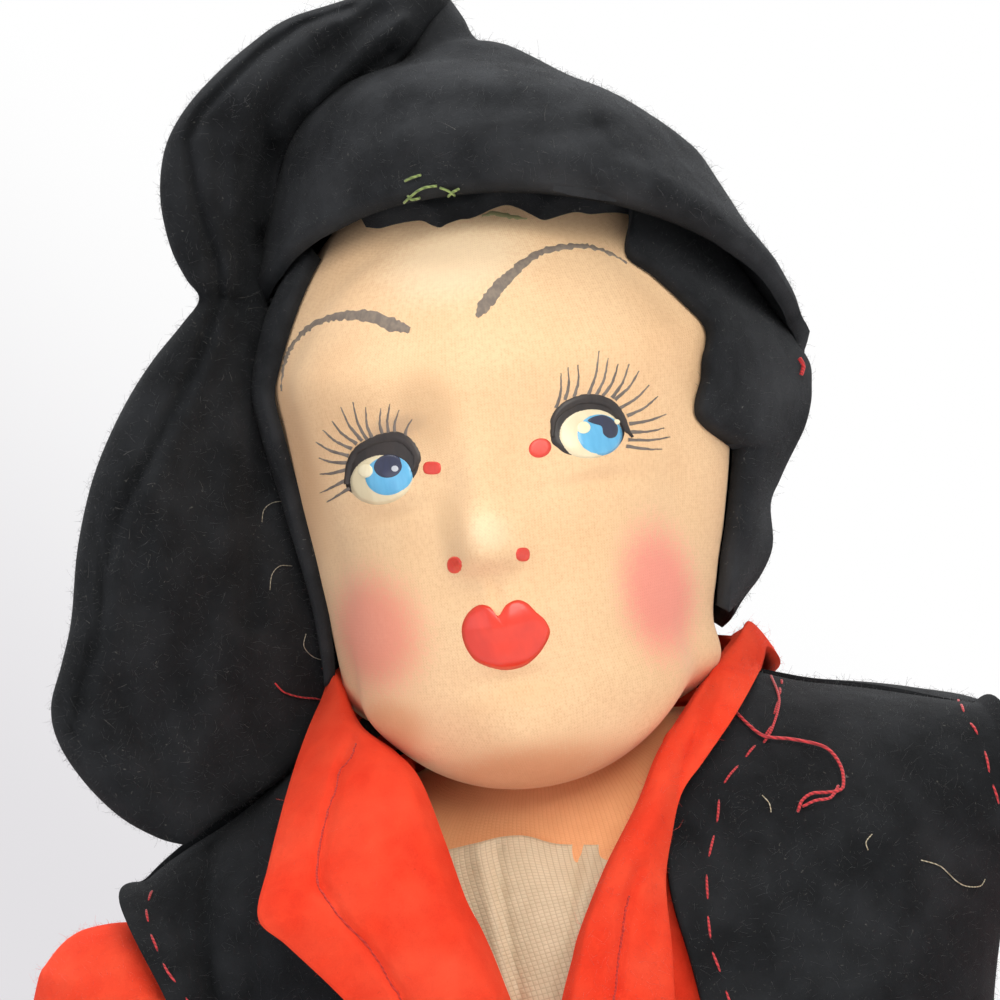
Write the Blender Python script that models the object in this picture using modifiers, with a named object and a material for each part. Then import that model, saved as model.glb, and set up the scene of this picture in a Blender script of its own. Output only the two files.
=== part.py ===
"""A topsy-turvy cloth doll: two half dolls joined at the waist under one reversible skirt.

The upper half doll wears a felt stocking cap, shirt and waistcoat. The lower half doll
hangs upside down inside the skirt. Lengths are in metres and +Z is up. The doll stands
on its skirt hem and both faces look along -Y. Right and left are the doll's own.
"""

import math

import bmesh
import bpy
from mathutils import Matrix, Vector

# Whole doll
WAIST_HEIGHT = 0.178
SEAM_GAP = 0.0003
WAIST_JOIN_GAP = 0.0003
LAYER_GAP = 0.0006
MASK_GAP = 0.0007
HAIR_GAP = 0.0009
CAP_GAP = 0.0008
WELD_DISTANCE = 0.000001

# Felt and cloth thicknesses
FELT_THICKNESS = 0.0016
CAP_FELT_THICKNESS = 0.0020
SILK_THICKNESS = 0.0008
COTTON_THICKNESS = 0.0011
MASK_THICKNESS = 0.0018
MASK_HEM_THICKNESS = 0.0008

# Body of each half doll, from the waist up
TORSO_HEIGHT = 0.0825
TORSO_HALF_WIDTH = 0.0470
TORSO_HALF_DEPTH = 0.0225
TORSO_TOP_SHIFT = 0.0030
TORSO_SHARES = (
    # height, half width, half depth, backward shift
    (0.00, 0.64, 0.88, 0.00),
    (0.18, 0.66, 0.93, 0.00),
    (0.42, 0.77, 1.00, 0.05),
    (0.63, 0.88, 0.98, 0.25),
    (0.76, 0.96, 0.90, 0.50),
    (0.860, 0.985, 0.78, 0.75),
    (0.925, 0.82, 0.68, 0.90),
    (0.970, 0.58, 0.61, 1.00),
    (1.000, 0.36, 0.56, 1.00),
)

# Neck and the place of the head
NECK_PIVOT_HEIGHT = 0.086
NECK_PIVOT_BACK = 0.0030
NECK_DOME_RADIUS = 0.0115
NECK_FOOT_RADIUS = 0.0105
NECK_DOME_SPAN = math.radians(105)
NECK_DEPTH_IN_TORSO = 0.0060
HEAD_CENTRE_RISE = 0.0260
HEAD_FORWARD = 0.0060
HEAD_TILT = math.radians(6.5)
HEAD_TURN = math.radians(-8.0)

# Stuffed head
HEAD_HALF_WIDTH = 0.0300
HEAD_FRONT_DEPTH = 0.0200
HEAD_BACK_DEPTH = 0.0310
HEAD_CROWN_HEIGHT = 0.0410
HEAD_BASE_DROP = 0.0275

# Moulded face mask
FACE_HALF_WIDTH = 0.0282
FACE_DEPTH = 0.0300
FACE_CROWN_HEIGHT = 0.0380
FACE_CHIN_DROP = 0.0355
FACE_TAPER_SHARE = 0.10
FACE_FADE_SHARES = (0.12, 0.45)
MASK_HALF_SPREAD = math.radians(66)
MASK_BOTTOM_LATITUDE = math.radians(-69)
MASK_TOP_LATITUDE = math.radians(66)
EYE_SPACING = 0.0128
EYE_RISE = 0.0055
# Each swelling: how far it stands out, half spread across and up, place across and up
NOSE_TIP = (0.0052, 0.0040, 0.0042, 0.0, -0.0045)
NOSE_BRIDGE = (0.0022, 0.0032, 0.0075, 0.0, 0.0020)
CHEEK = (0.0018, 0.0085, 0.0085, 0.0155, -0.0130)
CHIN = (0.0022, 0.0070, 0.0060, 0.0, -0.0270)
LIPS = (0.0013, 0.0055, 0.0038, 0.0, -0.0160)
EYE_SOCKET = (-0.0021, 0.0068, 0.0050, EYE_SPACING, EYE_RISE)
EYEBALL = (0.0014, 0.0036, 0.0030, EYE_SPACING, EYE_RISE)
BROW = (0.0009, 0.0100, 0.0045, EYE_SPACING, 0.0160)

# Felt hair
HAIR_FRINGE_HALF_SPREAD = math.radians(76)
HAIR_FRINGE_LOW = math.radians(59.5)
HAIR_FRINGE_HIGH = math.radians(74)
HAIR_SCALLOP = math.radians(2.6)
HAIR_SCALLOPS = 5
HAIR_SIDE_BACK = math.radians(124)
HAIR_SIDE_TOP = math.radians(56)
HAIR_SIDE_BOTTOM = math.radians(-35)
HAIR_SIDE_STAND = 0.0050
HAIR_SIDE_TIP = math.radians(16)
HAIR_SIDE_PUFF_SHARE = 0.8
CAP_SIDE_LIFT = 0.0070
HAIR_SIDE_FRONT_ANGLES = tuple(
    math.radians(angle) for angle in (78, 68, 63, 60, 66, 62, 55, 53)
)
HAIR_BACK_START = math.radians(128)
HAIR_BACK_BOTTOM = math.radians(-32)
HAIR_BACK_TOP = math.radians(26)

# Stocking cap
CAP_BRIM_MEAN = math.radians(32)
CAP_BRIM_SWING = math.radians(32)
CAP_PEAK_RISE = 0.0125
CAP_PEAK_POWER_SHARE = 1.5
CAP_SWELL = 0.0045
TAIL_HINGE_ACROSS = -0.0060
TAIL_HINGE_RISE = 0.0545
TAIL_LENGTH = 0.0900
TAIL_HALF_WIDTH = 0.0155
TAIL_HALF_DEPTH = 0.0068
TAIL_SHARES = (
    # across, down, forward, half width, half depth, lean of the section
    (0.000, 0.000, 0.00, 0.16, 0.50, 0.00),
    (-0.050, -0.030, 0.00, 0.40, 0.80, 0.00),
    (-0.140, -0.015, 0.00, 0.46, 1.00, 0.00),
    (-0.215, 0.060, 0.02, 0.50, 1.05, 0.10),
    (-0.252, 0.160, 0.06, 0.48, 1.00, 0.30),
    (-0.262, 0.250, 0.10, 0.46, 0.92, 0.45),
    (-0.290, 0.340, 0.13, 0.56, 0.95, 0.45),
    (-0.335, 0.450, 0.14, 0.76, 1.00, 0.40),
    (-0.385, 0.585, 0.13, 0.93, 1.05, 0.35),
    (-0.425, 0.715, 0.11, 0.99, 1.00, 0.30),
    (-0.450, 0.825, 0.09, 0.82, 0.90, 0.25),
    (-0.462, 0.905, 0.08, 0.46, 0.70, 0.20),
    (-0.465, 0.940, 0.08, 0.00, 0.00, 0.20),
)
TAIL_LEAN = math.radians(55)
TAIL_REST_GAP = 0.0014

# Shirt front, dickey and waistcoat
DICKEY_HALF_SPREAD = math.radians(40)
DICKEY_BOTTOM_SHARE = 0.30
DICKEY_TOP_SHARE = 0.875
SHIRT_BOTTOM_SHARE = 0.02
SHIRT_TOP_SHARE = 0.985
SHIRT_OPENING_ANGLES = tuple(math.radians(angle) for angle in (2, 2, 2, 2, 6, 12, 22, 42))
VEST_BOTTOM_SHARE = 0.17
VEST_TOP_SHARE = 0.955
VEST_OPENING_ANGLES = tuple(
    math.radians(angle) for angle in (17, 15, 13, 11, 12, 20, 33, 62)
)
VEST_SEAM_HALF_ANGLE = math.radians(0.6)

# Collar: places across, back and up from the base of the neck
COLLAR_HALF_WIDTH = 0.0380
COLLAR_DEPTH = 0.0260
COLLAR_DROP = 0.0400
COLLAR_LIFT = 0.0035
COLLAR_CUT_START = 0.5
COLLAR_INNER_SHARES = (
    (-0.16, -1.12, -0.72),
    (-0.27, -1.03, -0.42),
    (-0.40, -0.86, -0.12),
    (-0.57, -0.52, 0.10),
    (-0.62, -0.05, 0.14),
    (-0.54, 0.43, 0.11),
    (-0.32, 0.72, 0.08),
    (-0.01, 0.82, 0.06),
)
COLLAR_OUTER_SHARES = (
    (-0.80, -0.88, -0.66),
    (-0.98, -0.72, -0.36),
    (-0.90, -0.52, -0.14),
    (-0.78, -0.26, 0.06),
    (-0.77, 0.06, 0.04),
    (-0.67, 0.58, -0.01),
    (-0.41, 0.96, -0.08),
    (-0.01, 1.10, -0.12),
)

# Round collar of the lower half doll
BLOUSE_TOP_SHARE = 0.950
ROUND_COLLAR_TOP_SHARE = 0.945
ROUND_COLLAR_BOTTOM_SHARE = 0.88
ROUND_COLLAR_OPENING = math.radians(42)

# Arms and sleeves
SHOULDER_HALF_WIDTH = 0.0580
LOWER_SHOULDER_HALF_WIDTH = 0.0607
SHOULDER_SEAT_GAP = 0.0011
SHOULDER_HEIGHT = 0.0620
ARM_LENGTH = 0.0880
ARM_RADIUS = 0.0115
ARM_SHARES = (
    # distance along the arm, half width, half depth
    (-0.1307, 0.00, 0.00),
    (-0.1000, 0.64, 0.64),
    (-0.0500, 0.92, 0.92),
    (0.0000, 1.00, 1.00),
    (0.1800, 1.00, 0.98),
    (0.3500, 0.93, 0.92),
    (0.5200, 0.84, 0.82),
    (0.6600, 0.70, 0.66),
    (0.7600, 0.82, 0.60),
    (0.8700, 0.80, 0.52),
    (0.9600, 0.52, 0.38),
    (1.0000, 0.00, 0.00),
)
ARM_CUFF_STATION = 6.75
CUFF_FLARE = 0.0016
SLEEVE_CLEARANCE = 0.0004
UPPER_ARM_SPREAD = math.radians(24)
LOWER_ARM_SPREAD = math.radians(173)

# Skirt and waistband
SKIRT_RISE_ABOVE_WAIST = 0.0070
SKIRT_HALF_WIDTH = 0.1000
SKIRT_HALF_DEPTH = 0.0900
SKIRT_FOLD_DEPTH = 0.0050
SKIRT_FOLDS = 10
SKIRT_PLIES_GAP = 0.0006
SKIRT_SHARES = (
    # distance down, half width, half depth, fold depth
    (0.00, 0.378, 0.306, 0.03),
    (0.05, 0.380, 0.309, 0.04),
    (0.10, 0.388, 0.318, 0.08),
    (0.16, 0.600, 0.520, 0.30),
    (0.26, 0.780, 0.690, 0.50),
    (0.42, 0.870, 0.810, 0.70),
    (0.62, 0.930, 0.895, 0.85),
    (0.82, 0.970, 0.955, 0.95),
    (1.00, 1.000, 1.000, 1.00),
)
LINING_HEM_RISE = 0.0020
WAISTBAND_HALF_HEIGHT = 0.0095
WAISTBAND_THICKNESS = 0.0020
WAISTBAND_FLARE = 0.0012

# Counts
MASK_COLUMNS = 14
MASK_ROWS = 15
HAIR_COLUMNS = 7
FRINGE_COLUMNS = 20
HAIR_ROWS = 5
CAP_COLUMNS = 22
CAP_ROWS = 6
TAIL_SIDES = 12
TAIL_STATIONS = 16
TORSO_COLUMNS = 24
TORSO_STATION_STEP = 1.0
VEST_BACK_COLUMNS = 12
VEST_FRONT_COLUMNS = 8
LIMB_COLUMNS = 10
LIMB_ROWS = 11
SLEEVE_ROWS = 6
SKIRT_COLUMNS_PER_FOLD = 4
SKIRT_ROWS = 8
BALL_SEGMENTS = 18
BALL_RINGS = 11
DOME_STEPS = 5
COLLAR_COLUMNS = 10
COLLAR_ROWS = 3
HALVINGS = 40
PROBE_SHARE = 0.02
SHARP_ANGLE = math.radians(50)

# Derived layers over the torso
DICKEY_INNER = LAYER_GAP
DICKEY_OUTER = DICKEY_INNER + SILK_THICKNESS
SHIRT_INNER = DICKEY_OUTER + LAYER_GAP
SHIRT_OUTER = SHIRT_INNER + FELT_THICKNESS
VEST_INNER = SHIRT_OUTER + LAYER_GAP
VEST_OUTER = VEST_INNER + FELT_THICKNESS
COLLAR_SEAT = VEST_OUTER + LAYER_GAP
BLOUSE_INNER = LAYER_GAP
BLOUSE_OUTER = BLOUSE_INNER + COTTON_THICKNESS
ROUND_COLLAR_INNER = BLOUSE_OUTER + LAYER_GAP
ROUND_COLLAR_OUTER = ROUND_COLLAR_INNER + FELT_THICKNESS
SLEEVE_INNER = SLEEVE_CLEARANCE
SLEEVE_OUTER = SLEEVE_INNER + FELT_THICKNESS
SHOULDER_CLEAR_RADIUS = ARM_RADIUS + SLEEVE_OUTER + SHOULDER_SEAT_GAP
SKIRT_LENGTH = WAIST_HEIGHT + SKIRT_RISE_ABOVE_WAIST

# Colours of the finishes, as linear values
FLESH = (0.88, 0.58, 0.36, 1.0)
BLACK_FELT = (0.012, 0.012, 0.014, 1.0)
RED_FELT = (0.95, 0.07, 0.03, 1.0)
CREAM_SILK = (0.78, 0.63, 0.44, 1.0)
RED_COTTON = (0.62, 0.05, 0.05, 1.0)
BROWN_FELT = (0.10, 0.045, 0.02, 1.0)
CREAM_COTTON = (0.80, 0.72, 0.58, 1.0)


def clear_scene():
    """Remove every object that is in the file."""
    for old in list(bpy.data.objects):
        bpy.data.objects.remove(old, do_unlink=True)


def make_collection(name, shown=True):
    """Make a collection under the scene's own."""
    made = bpy.data.collections.new(name)
    bpy.context.scene.collection.children.link(made)
    made.hide_render = not shown
    return made


def make_material(name, colour, roughness, metallic=0.0):
    """Make a plain finish."""
    made = bpy.data.materials.new(name)
    made.use_nodes = True
    shader = made.node_tree.nodes["Principled BSDF"]
    shader.inputs["Base Color"].default_value = colour
    shader.inputs["Roughness"].default_value = roughness
    shader.inputs["Metallic"].default_value = metallic
    made.diffuse_color = colour
    return made


def make_empty(name, location, parent=None, turn=None):
    """Make a pivot that pieces hang from."""
    made = bpy.data.objects.new(name, None)
    DOLL.objects.link(made)
    made.parent = parent
    made.matrix_local = Matrix.Translation(location) @ (turn or Matrix())
    return made


def make_object(name, mesh, material, parent, location=(0, 0, 0), collection=None):
    """Make an object of a mesh, smooth but for its sharp edges."""
    made = bpy.data.objects.new(name, mesh)
    (collection or DOLL).objects.link(made)
    made.parent = parent
    made.location = location
    if material:
        mesh.materials.append(material)
    mesh.shade_smooth()
    mesh.set_sharp_from_angle(angle=SHARP_ANGLE)
    return made


def make_cutter(name, mesh, parent, location=(0, 0, 0)):
    """Make a shape that only cuts others."""
    made = make_object(name, mesh, None, parent, location, CUTTERS)
    made.hide_render = True
    made.display_type = "WIRE"
    return made


def cut(piece, cutter):
    """Take the cutter's shape out of a piece."""
    boolean = piece.modifiers.new(cutter.name, "BOOLEAN")
    boolean.operation = "DIFFERENCE"
    boolean.solver = "EXACT"
    boolean.object = cutter


def spline(values, place):
    """Read a smooth curve through evenly numbered values."""
    last = len(values) - 1
    index = min(int(place), last - 1)
    part = place - index
    before = values[max(index - 1, 0)]
    first = values[index]
    second = values[index + 1]
    after = values[min(index + 2, last)]
    rise = (second - before) / 2
    fall = (after - first) / 2
    square = part * part
    cube = square * part
    return (
        first * (2 * cube - 3 * square + 1)
        + rise * (cube - 2 * square + part)
        + second * (3 * square - 2 * cube)
        + fall * (cube - square)
    )


def smooth_step(low, high, value):
    """Go smoothly from 0 at low to 1 at high."""
    part = min(max((value - low) / (high - low), 0.0), 1.0)
    return part * part * (3 - 2 * part)


def loft(name, sections, closed=False, strip_ends=False):
    """Join loops of points, each as long as the next, into one closed body.

    Strip ends pair the two sides of a thin loop; other ends are filled flat.
    """
    shape = bmesh.new()
    rows = [[shape.verts.new(point) for point in section] for section in sections]
    count = len(sections[0])
    pairs = list(zip(rows, rows[1:]))
    if closed:
        pairs.append((rows[-1], rows[0]))
    for first, second in pairs:
        for i in range(count):
            j = (i + 1) % count
            shape.faces.new((first[i], first[j], second[j], second[i]))
    for row in () if closed else (rows[0], rows[-1]):
        if not strip_ends:
            shape.faces.new(row)
            continue
        for i in range(count // 2 - 1):
            shape.faces.new((row[i], row[i + 1], row[count - 2 - i], row[count - 1 - i]))
    bmesh.ops.remove_doubles(shape, verts=shape.verts, dist=WELD_DISTANCE)
    bmesh.ops.recalc_face_normals(shape, faces=shape.faces)
    return finish_mesh(name, shape)


def finish_mesh(name, shape):
    """Turn a working shape into a mesh."""
    mesh = bpy.data.meshes.new(name)
    shape.to_mesh(mesh)
    shape.free()
    return mesh


def shell(name, columns, rows, outer, inner, closed=False, levels=None):
    """Make a sheet with thickness between an outer and an inner surface over (0..1, 0..1)."""
    sections = []
    for i in range(columns if closed else columns + 1):
        across = i / columns
        up = levels or [j / rows for j in range(rows + 1)]
        sections.append(
            [outer(across, v) for v in up] + [inner(across, v) for v in reversed(up)]
        )
    return loft(name, sections, closed=closed, strip_ends=True)


def ball(name, radius, reach=None, finer=1):
    """Make a ball, or a form whose reach in each direction is given."""
    shape = bmesh.new()
    bmesh.ops.create_uvsphere(
        shape, u_segments=finer * BALL_SEGMENTS, v_segments=finer * BALL_RINGS, radius=1.0
    )
    for vert in shape.verts:
        way = vert.co.normalized()
        vert.co = way * (reach(way) if reach else radius)
    return finish_mesh(name, shape)


class Form:
    """A stuffed form: smooth sections along an upright line, with an even offset."""

    def __init__(self, stations):
        """Take rows of height, half width, half depth, shift across and shift back."""
        self.columns = list(zip(*stations))
        self.last = len(stations) - 1

    def surface(self, station, angle):
        """Give the point at a station number and an angle from the front."""
        height, wide, deep, across, back = (spline(c, station) for c in self.columns)
        wide = max(wide, 0.0)
        deep = max(deep, 0.0)
        return Vector(
            (across + wide * math.sin(angle), back - deep * math.cos(angle), height)
        )

    def point(self, station, angle, offset=0.0):
        """Give the point that lies the offset outside the surface."""
        here = self.surface(station, angle)
        if not offset:
            return here
        low = max(station - PROBE_SHARE, 0.0)
        high = min(station + PROBE_SHARE, self.last)
        along = self.surface(high, angle) - self.surface(low, angle)
        around = self.surface(station, angle + PROBE_SHARE) - self.surface(
            station, angle - PROBE_SHARE
        )
        normal = around.cross(along)
        if around.length < WELD_DISTANCE:
            way = 1.0 if station > self.last / 2 else -1.0
            return here + Vector((0, 0, way * self.upward() * offset))
        return here + normal.normalized() * (self.upward() * offset)

    def upward(self):
        """Say whether the stations run up or down."""
        return 1.0 if self.columns[0][-1] > self.columns[0][0] else -1.0

    def body(self, name, columns, levels, offset=0.0):
        """Make the form as one solid, with a section at each level."""
        sections = []
        for station in levels:
            sections.append(
                [
                    self.point(station, math.tau * i / columns, offset)
                    for i in range(columns)
                ]
            )
        return loft(name, sections)

    def station_at(self, height):
        """Find the station number of a height by halving."""
        low, high = 0.0, float(self.last)
        for _ in range(HALVINGS):
            middle = (low + high) / 2
            if spline(self.columns[0], middle) < height:
                low = middle
            else:
                high = middle
        return (low + high) / 2


def even_levels(last, rows):
    """Give station numbers that divide a form evenly."""
    return [last * j / rows for j in range(rows + 1)]


def torso_levels(low, high):
    """Give the station numbers between two heights that all cloth on the torso shares."""
    steps = int(high / TORSO_STATION_STEP) + 1
    shared = [TORSO_STATION_STEP * k for k in range(steps + 1)]
    inside = [level for level in shared if low + PROBE_SHARE < level < high - PROBE_SHARE]
    return [low] + inside + [high]


def torso_form():
    """Make the form of a half doll's body."""
    return Form(
        [
            (
                TORSO_HEIGHT * height,
                TORSO_HALF_WIDTH * wide,
                TORSO_HALF_DEPTH * deep,
                0.0,
                TORSO_TOP_SHIFT * shift,
            )
            for height, wide, deep, shift in TORSO_SHARES
        ]
    )


def arm_form():
    """Make the form of an arm that hangs straight down from its shoulder."""
    return Form(
        [
            (-ARM_LENGTH * along, ARM_RADIUS * wide, ARM_RADIUS * deep, 0.0, 0.0)
            for along, wide, deep in ARM_SHARES
        ]
    )


def reach_of(way, half_width, depth, height):
    """Give how far an egg with these half sizes reaches in a direction."""
    return 1.0 / math.sqrt(
        (way.x / half_width) ** 2 + (way.y / depth) ** 2 + (way.z / height) ** 2
    )


def skull_reach(way):
    """Give the reach of the stuffed head without its face."""
    depth = HEAD_FRONT_DEPTH if way.y < 0 else HEAD_BACK_DEPTH
    height = HEAD_CROWN_HEIGHT if way.z > 0 else HEAD_BASE_DROP
    return reach_of(way, HEAD_HALF_WIDTH, depth, height)


def face_share(way):
    """Say how much of a direction belongs to the face, from 0 to 1."""
    return smooth_step(*FACE_FADE_SHARES, -way.y)


def face_egg_reach(way):
    """Give the reach of the face's plain egg."""
    height = FACE_CROWN_HEIGHT if way.z > 0 else FACE_CHIN_DROP
    half_width = FACE_HALF_WIDTH * (1 + FACE_TAPER_SHARE * way.z)
    return reach_of(way, half_width, FACE_DEPTH, height)


def relief(across, up):
    """Give how far the face's swellings and hollows stand out at a place."""
    total = 0.0
    for out, wide, tall, place, rise in (
        NOSE_TIP, NOSE_BRIDGE, CHEEK, CHIN, LIPS, EYE_SOCKET, EYEBALL, BROW,
    ):
        for side in (-1, 1) if place else (1,):
            total += out * math.exp(
                -(((across - side * place) / wide) ** 2) - ((up - rise) / tall) ** 2
            )
    return total


def core_reach(way):
    """Give the reach of the stuffed head, face bulge included."""
    skull = skull_reach(way)
    egg = face_egg_reach(way) - MASK_THICKNESS - MASK_GAP
    return skull + face_share(way) * max(0.0, egg - skull)


def mask_reach(way):
    """Give the reach of the mask's outside."""
    core = core_reach(way)
    share = face_share(way)
    egg = face_egg_reach(way)
    bare = core + MASK_GAP + MASK_HEM_THICKNESS
    plain = max(bare, core + share * (egg - core))
    return max(bare, plain + share * relief(plain * way.x, plain * way.z))


def hair_reach(way):
    """Give the reach of the hair's outside where it lies close."""
    return mask_reach(way) + HAIR_GAP + FELT_THICKNESS


def direction(longitude, latitude):
    """Turn angles from the front and up into a direction."""
    level = math.cos(latitude)
    return Vector(
        (
            level * math.sin(longitude),
            -level * math.cos(longitude),
            math.sin(latitude),
        )
    )


def mask_mesh(name):
    """Make the mask as a thin shell over the front of the head."""

    def place(across, up):
        longitude = MASK_HALF_SPREAD * (2 * across - 1)
        latitude = MASK_BOTTOM_LATITUDE + up * (MASK_TOP_LATITUDE - MASK_BOTTOM_LATITUDE)
        return direction(longitude, latitude)

    def outer(across, up):
        way = place(across, up)
        return way * mask_reach(way)

    def inner(across, up):
        way = place(across, up)
        return way * (core_reach(way) + MASK_GAP)

    return shell(name, MASK_COLUMNS, MASK_ROWS, outer, inner)


def hair_mesh(name, columns, rows, place, stand=None):
    """Make a piece of hair felt; place gives directions, stand how far it puffs out."""

    def reach(across, up):
        lift = stand(across, up) if stand else 0.0
        return hair_reach(place(across, up)) + lift

    def outer(across, up):
        return place(across, up) * reach(across, up)

    def inner(across, up):
        return place(across, up) * (reach(across, up) - FELT_THICKNESS)

    return shell(name, columns, rows, outer, inner)


def fringe_place(low):
    """Make the fringe's map from its own places to directions."""

    def place(across, up):
        longitude = HAIR_FRINGE_HALF_SPREAD * (2 * across - 1)
        wave = abs(math.sin(math.pi * HAIR_SCALLOPS * across))
        bottom = low - HAIR_SCALLOP * wave
        return direction(longitude, bottom + up * (HAIR_FRINGE_HIGH - bottom))

    return place


def side_hair_place(side):
    """Make a side piece's map from its own places to directions."""

    def place(across, up):
        last = len(HAIR_SIDE_FRONT_ANGLES) - 1
        front = spline(HAIR_SIDE_FRONT_ANGLES, up * last)
        longitude = front + across * (HAIR_SIDE_BACK - front)
        latitude = HAIR_SIDE_BOTTOM + up * (HAIR_SIDE_TOP - HAIR_SIDE_BOTTOM)
        tip = (1 - up) ** 2 * HAIR_SIDE_TIP * across
        return direction(side * longitude, latitude + tip)

    return place


def side_hair_stand(across, up):
    """Puff the loose side piece out below the cap's edge."""
    return HAIR_SIDE_STAND * math.sin(math.pi * min(up * HAIR_SIDE_PUFF_SHARE, 1.0)) * across


def back_hair_place(across, up):
    """Map the nape piece's own places to directions."""
    longitude = HAIR_BACK_START + across * (math.tau - 2 * HAIR_BACK_START)
    return direction(longitude, HAIR_BACK_BOTTOM + up * (HAIR_BACK_TOP - HAIR_BACK_BOTTOM))


def brim_latitude(longitude, mean, swing):
    """Give how high the cap's edge lies at an angle from the front."""
    return mean + swing * math.cos(longitude)


def crown_mesh(name, mean, swing, peak, swell, thickness, side_lift_reach):
    """Make a cap or kerchief as a bowl over the hair."""

    def place(across, up):
        longitude = math.tau * across
        low = brim_latitude(longitude, mean, swing)
        return direction(longitude, low + up * (math.pi / 2 - low))

    def reach(across, up):
        close = hair_reach(place(across, up)) + CAP_GAP + thickness
        rounded = swell * math.sin(math.pi * up)
        return close + rounded + peak * up**CAP_PEAK_POWER_SHARE

    def side_lift(across):
        return side_lift_reach * max(0.0, math.sin(math.tau * across)) ** 2

    def outer(across, up):
        lift = side_lift(across) * (1 - up)
        return place(across, up) * (reach(across, up) + lift)

    def inner(across, up):
        lift = side_lift(across) * (1 - up)
        return place(across, up) * (reach(across, up) + lift - thickness)

    return shell(name, CAP_COLUMNS, CAP_ROWS, outer, inner, closed=True)


def tail_mesh(name):
    """Make the cap's hanging tail, a soft flat tube that narrows to a round end."""
    columns = list(zip(*TAIL_SHARES))
    sections = []
    for j in range(TAIL_STATIONS + 1):
        station = (len(TAIL_SHARES) - 1) * j / TAIL_STATIONS
        across, down, forward, wide, deep, lean = (spline(c, station) for c in columns)
        ahead = (len(TAIL_SHARES) - 1) * min(j + 1, TAIL_STATIONS) / TAIL_STATIONS
        behind = (len(TAIL_SHARES) - 1) * max(j - 1, 0) / TAIL_STATIONS
        course = Vector(
            (
                spline(columns[0], ahead) - spline(columns[0], behind),
                0.0,
                spline(columns[1], behind) - spline(columns[1], ahead),
            )
        ).normalized()
        sideways = Vector((-course.z, 0.0, course.x))
        thick = Vector((0.0, 1.0, 0.0))
        turned = Matrix.Rotation(TAIL_LEAN * lean, 3, course)
        sideways = turned @ sideways
        thick = turned @ thick
        centre = Vector((TAIL_LENGTH * across, -TAIL_LENGTH * forward, -TAIL_LENGTH * down))
        sections.append(
            [
                centre
                + sideways * (TAIL_HALF_WIDTH * max(wide, 0.0) * math.cos(angle))
                + thick * (TAIL_HALF_DEPTH * max(deep, 0.0) * math.sin(angle))
                for angle in (math.tau * i / TAIL_SIDES for i in range(TAIL_SIDES))
            ]
        )
    return loft(name, sections)


def wrap(name, columns, inner_offset, outer_offset, bottom, top, start, end):
    """Make cloth that lies on the torso between two heights and two angles.

    Start and end are functions of the share of the height; bottom and top are shares.
    """
    form = torso_form()
    low = form.station_at(TORSO_HEIGHT * bottom)
    high = form.station_at(TORSO_HEIGHT * top)

    def at(offset):
        def point(across, up):
            first = start(up)
            angle = first + across * (end(up) - first)
            return form.point(low + up * (high - low), angle, offset)

        return point

    levels = [(level - low) / (high - low) for level in torso_levels(low, high)]
    return shell(name, columns, 0, at(outer_offset), at(inner_offset), levels=levels)


def opening(angles):
    """Make a function that gives the front edge's angle at a share of the height."""
    return lambda up: spline(angles, up * (len(angles) - 1))


def collar_mesh(name, side):
    """Make one half of the turned-down shirt collar, from its corner to the nape."""
    base = Vector((0.0, TORSO_TOP_SHIFT, TORSO_HEIGHT))

    def edge(shares, along):
        place = along * (len(shares) - 1)
        across, back, up = (spline(column, place) for column in zip(*shares))
        return base + Vector(
            (
                -side * COLLAR_HALF_WIDTH * across,
                COLLAR_DEPTH * back,
                COLLAR_DROP * up,
            )
        )

    def middle(along, out):
        inner = edge(COLLAR_INNER_SHARES, along)
        outer = edge(COLLAR_OUTER_SHARES, along)
        crown = Vector((0.0, -COLLAR_LIFT, COLLAR_LIFT)) * math.sin(math.pi * out)
        return inner.lerp(outer, out) + crown

    def normal(along, out):
        low, high = max(along - PROBE_SHARE, 0.0), min(along + PROBE_SHARE, 1.0)
        near, far = max(out - PROBE_SHARE, 0.0), min(out + PROBE_SHARE, 1.0)
        first = middle(high, out) - middle(low, out)
        second = middle(along, far) - middle(along, near)
        return first.cross(second).normalized() * side

    def over(along, out):
        return middle(along, out) + normal(along, out) * (FELT_THICKNESS / 2)

    def below(along, out):
        return middle(along, out) - normal(along, out) * (FELT_THICKNESS / 2)

    return shell(name, COLLAR_COLUMNS, COLLAR_ROWS, over, below)


def skirt_mesh(name, inset, thickness, hem_rise):
    """Make one ply of the gathered skirt, from the waistband to the hem."""
    columns = list(zip(*SKIRT_SHARES))

    def at(depth):
        def point(across, up):
            station = (len(SKIRT_SHARES) - 1) * (1 - up)
            down, wide, deep, fold = (spline(c, station) for c in columns)
            angle = math.tau * across
            wave = SKIRT_FOLD_DEPTH * fold * math.cos(SKIRT_FOLDS * angle)
            away = Vector((math.sin(angle), -math.cos(angle), 0.0))
            height = max(SKIRT_LENGTH * (1 - down), hem_rise)
            return Vector(
                (
                    SKIRT_HALF_WIDTH * wide * math.sin(angle),
                    -SKIRT_HALF_DEPTH * deep * math.cos(angle),
                    height,
                )
            ) + away * (wave - depth)

        return point

    count = SKIRT_FOLDS * SKIRT_COLUMNS_PER_FOLD
    return shell(name, count, SKIRT_ROWS, at(inset), at(inset + thickness), closed=True)


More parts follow.
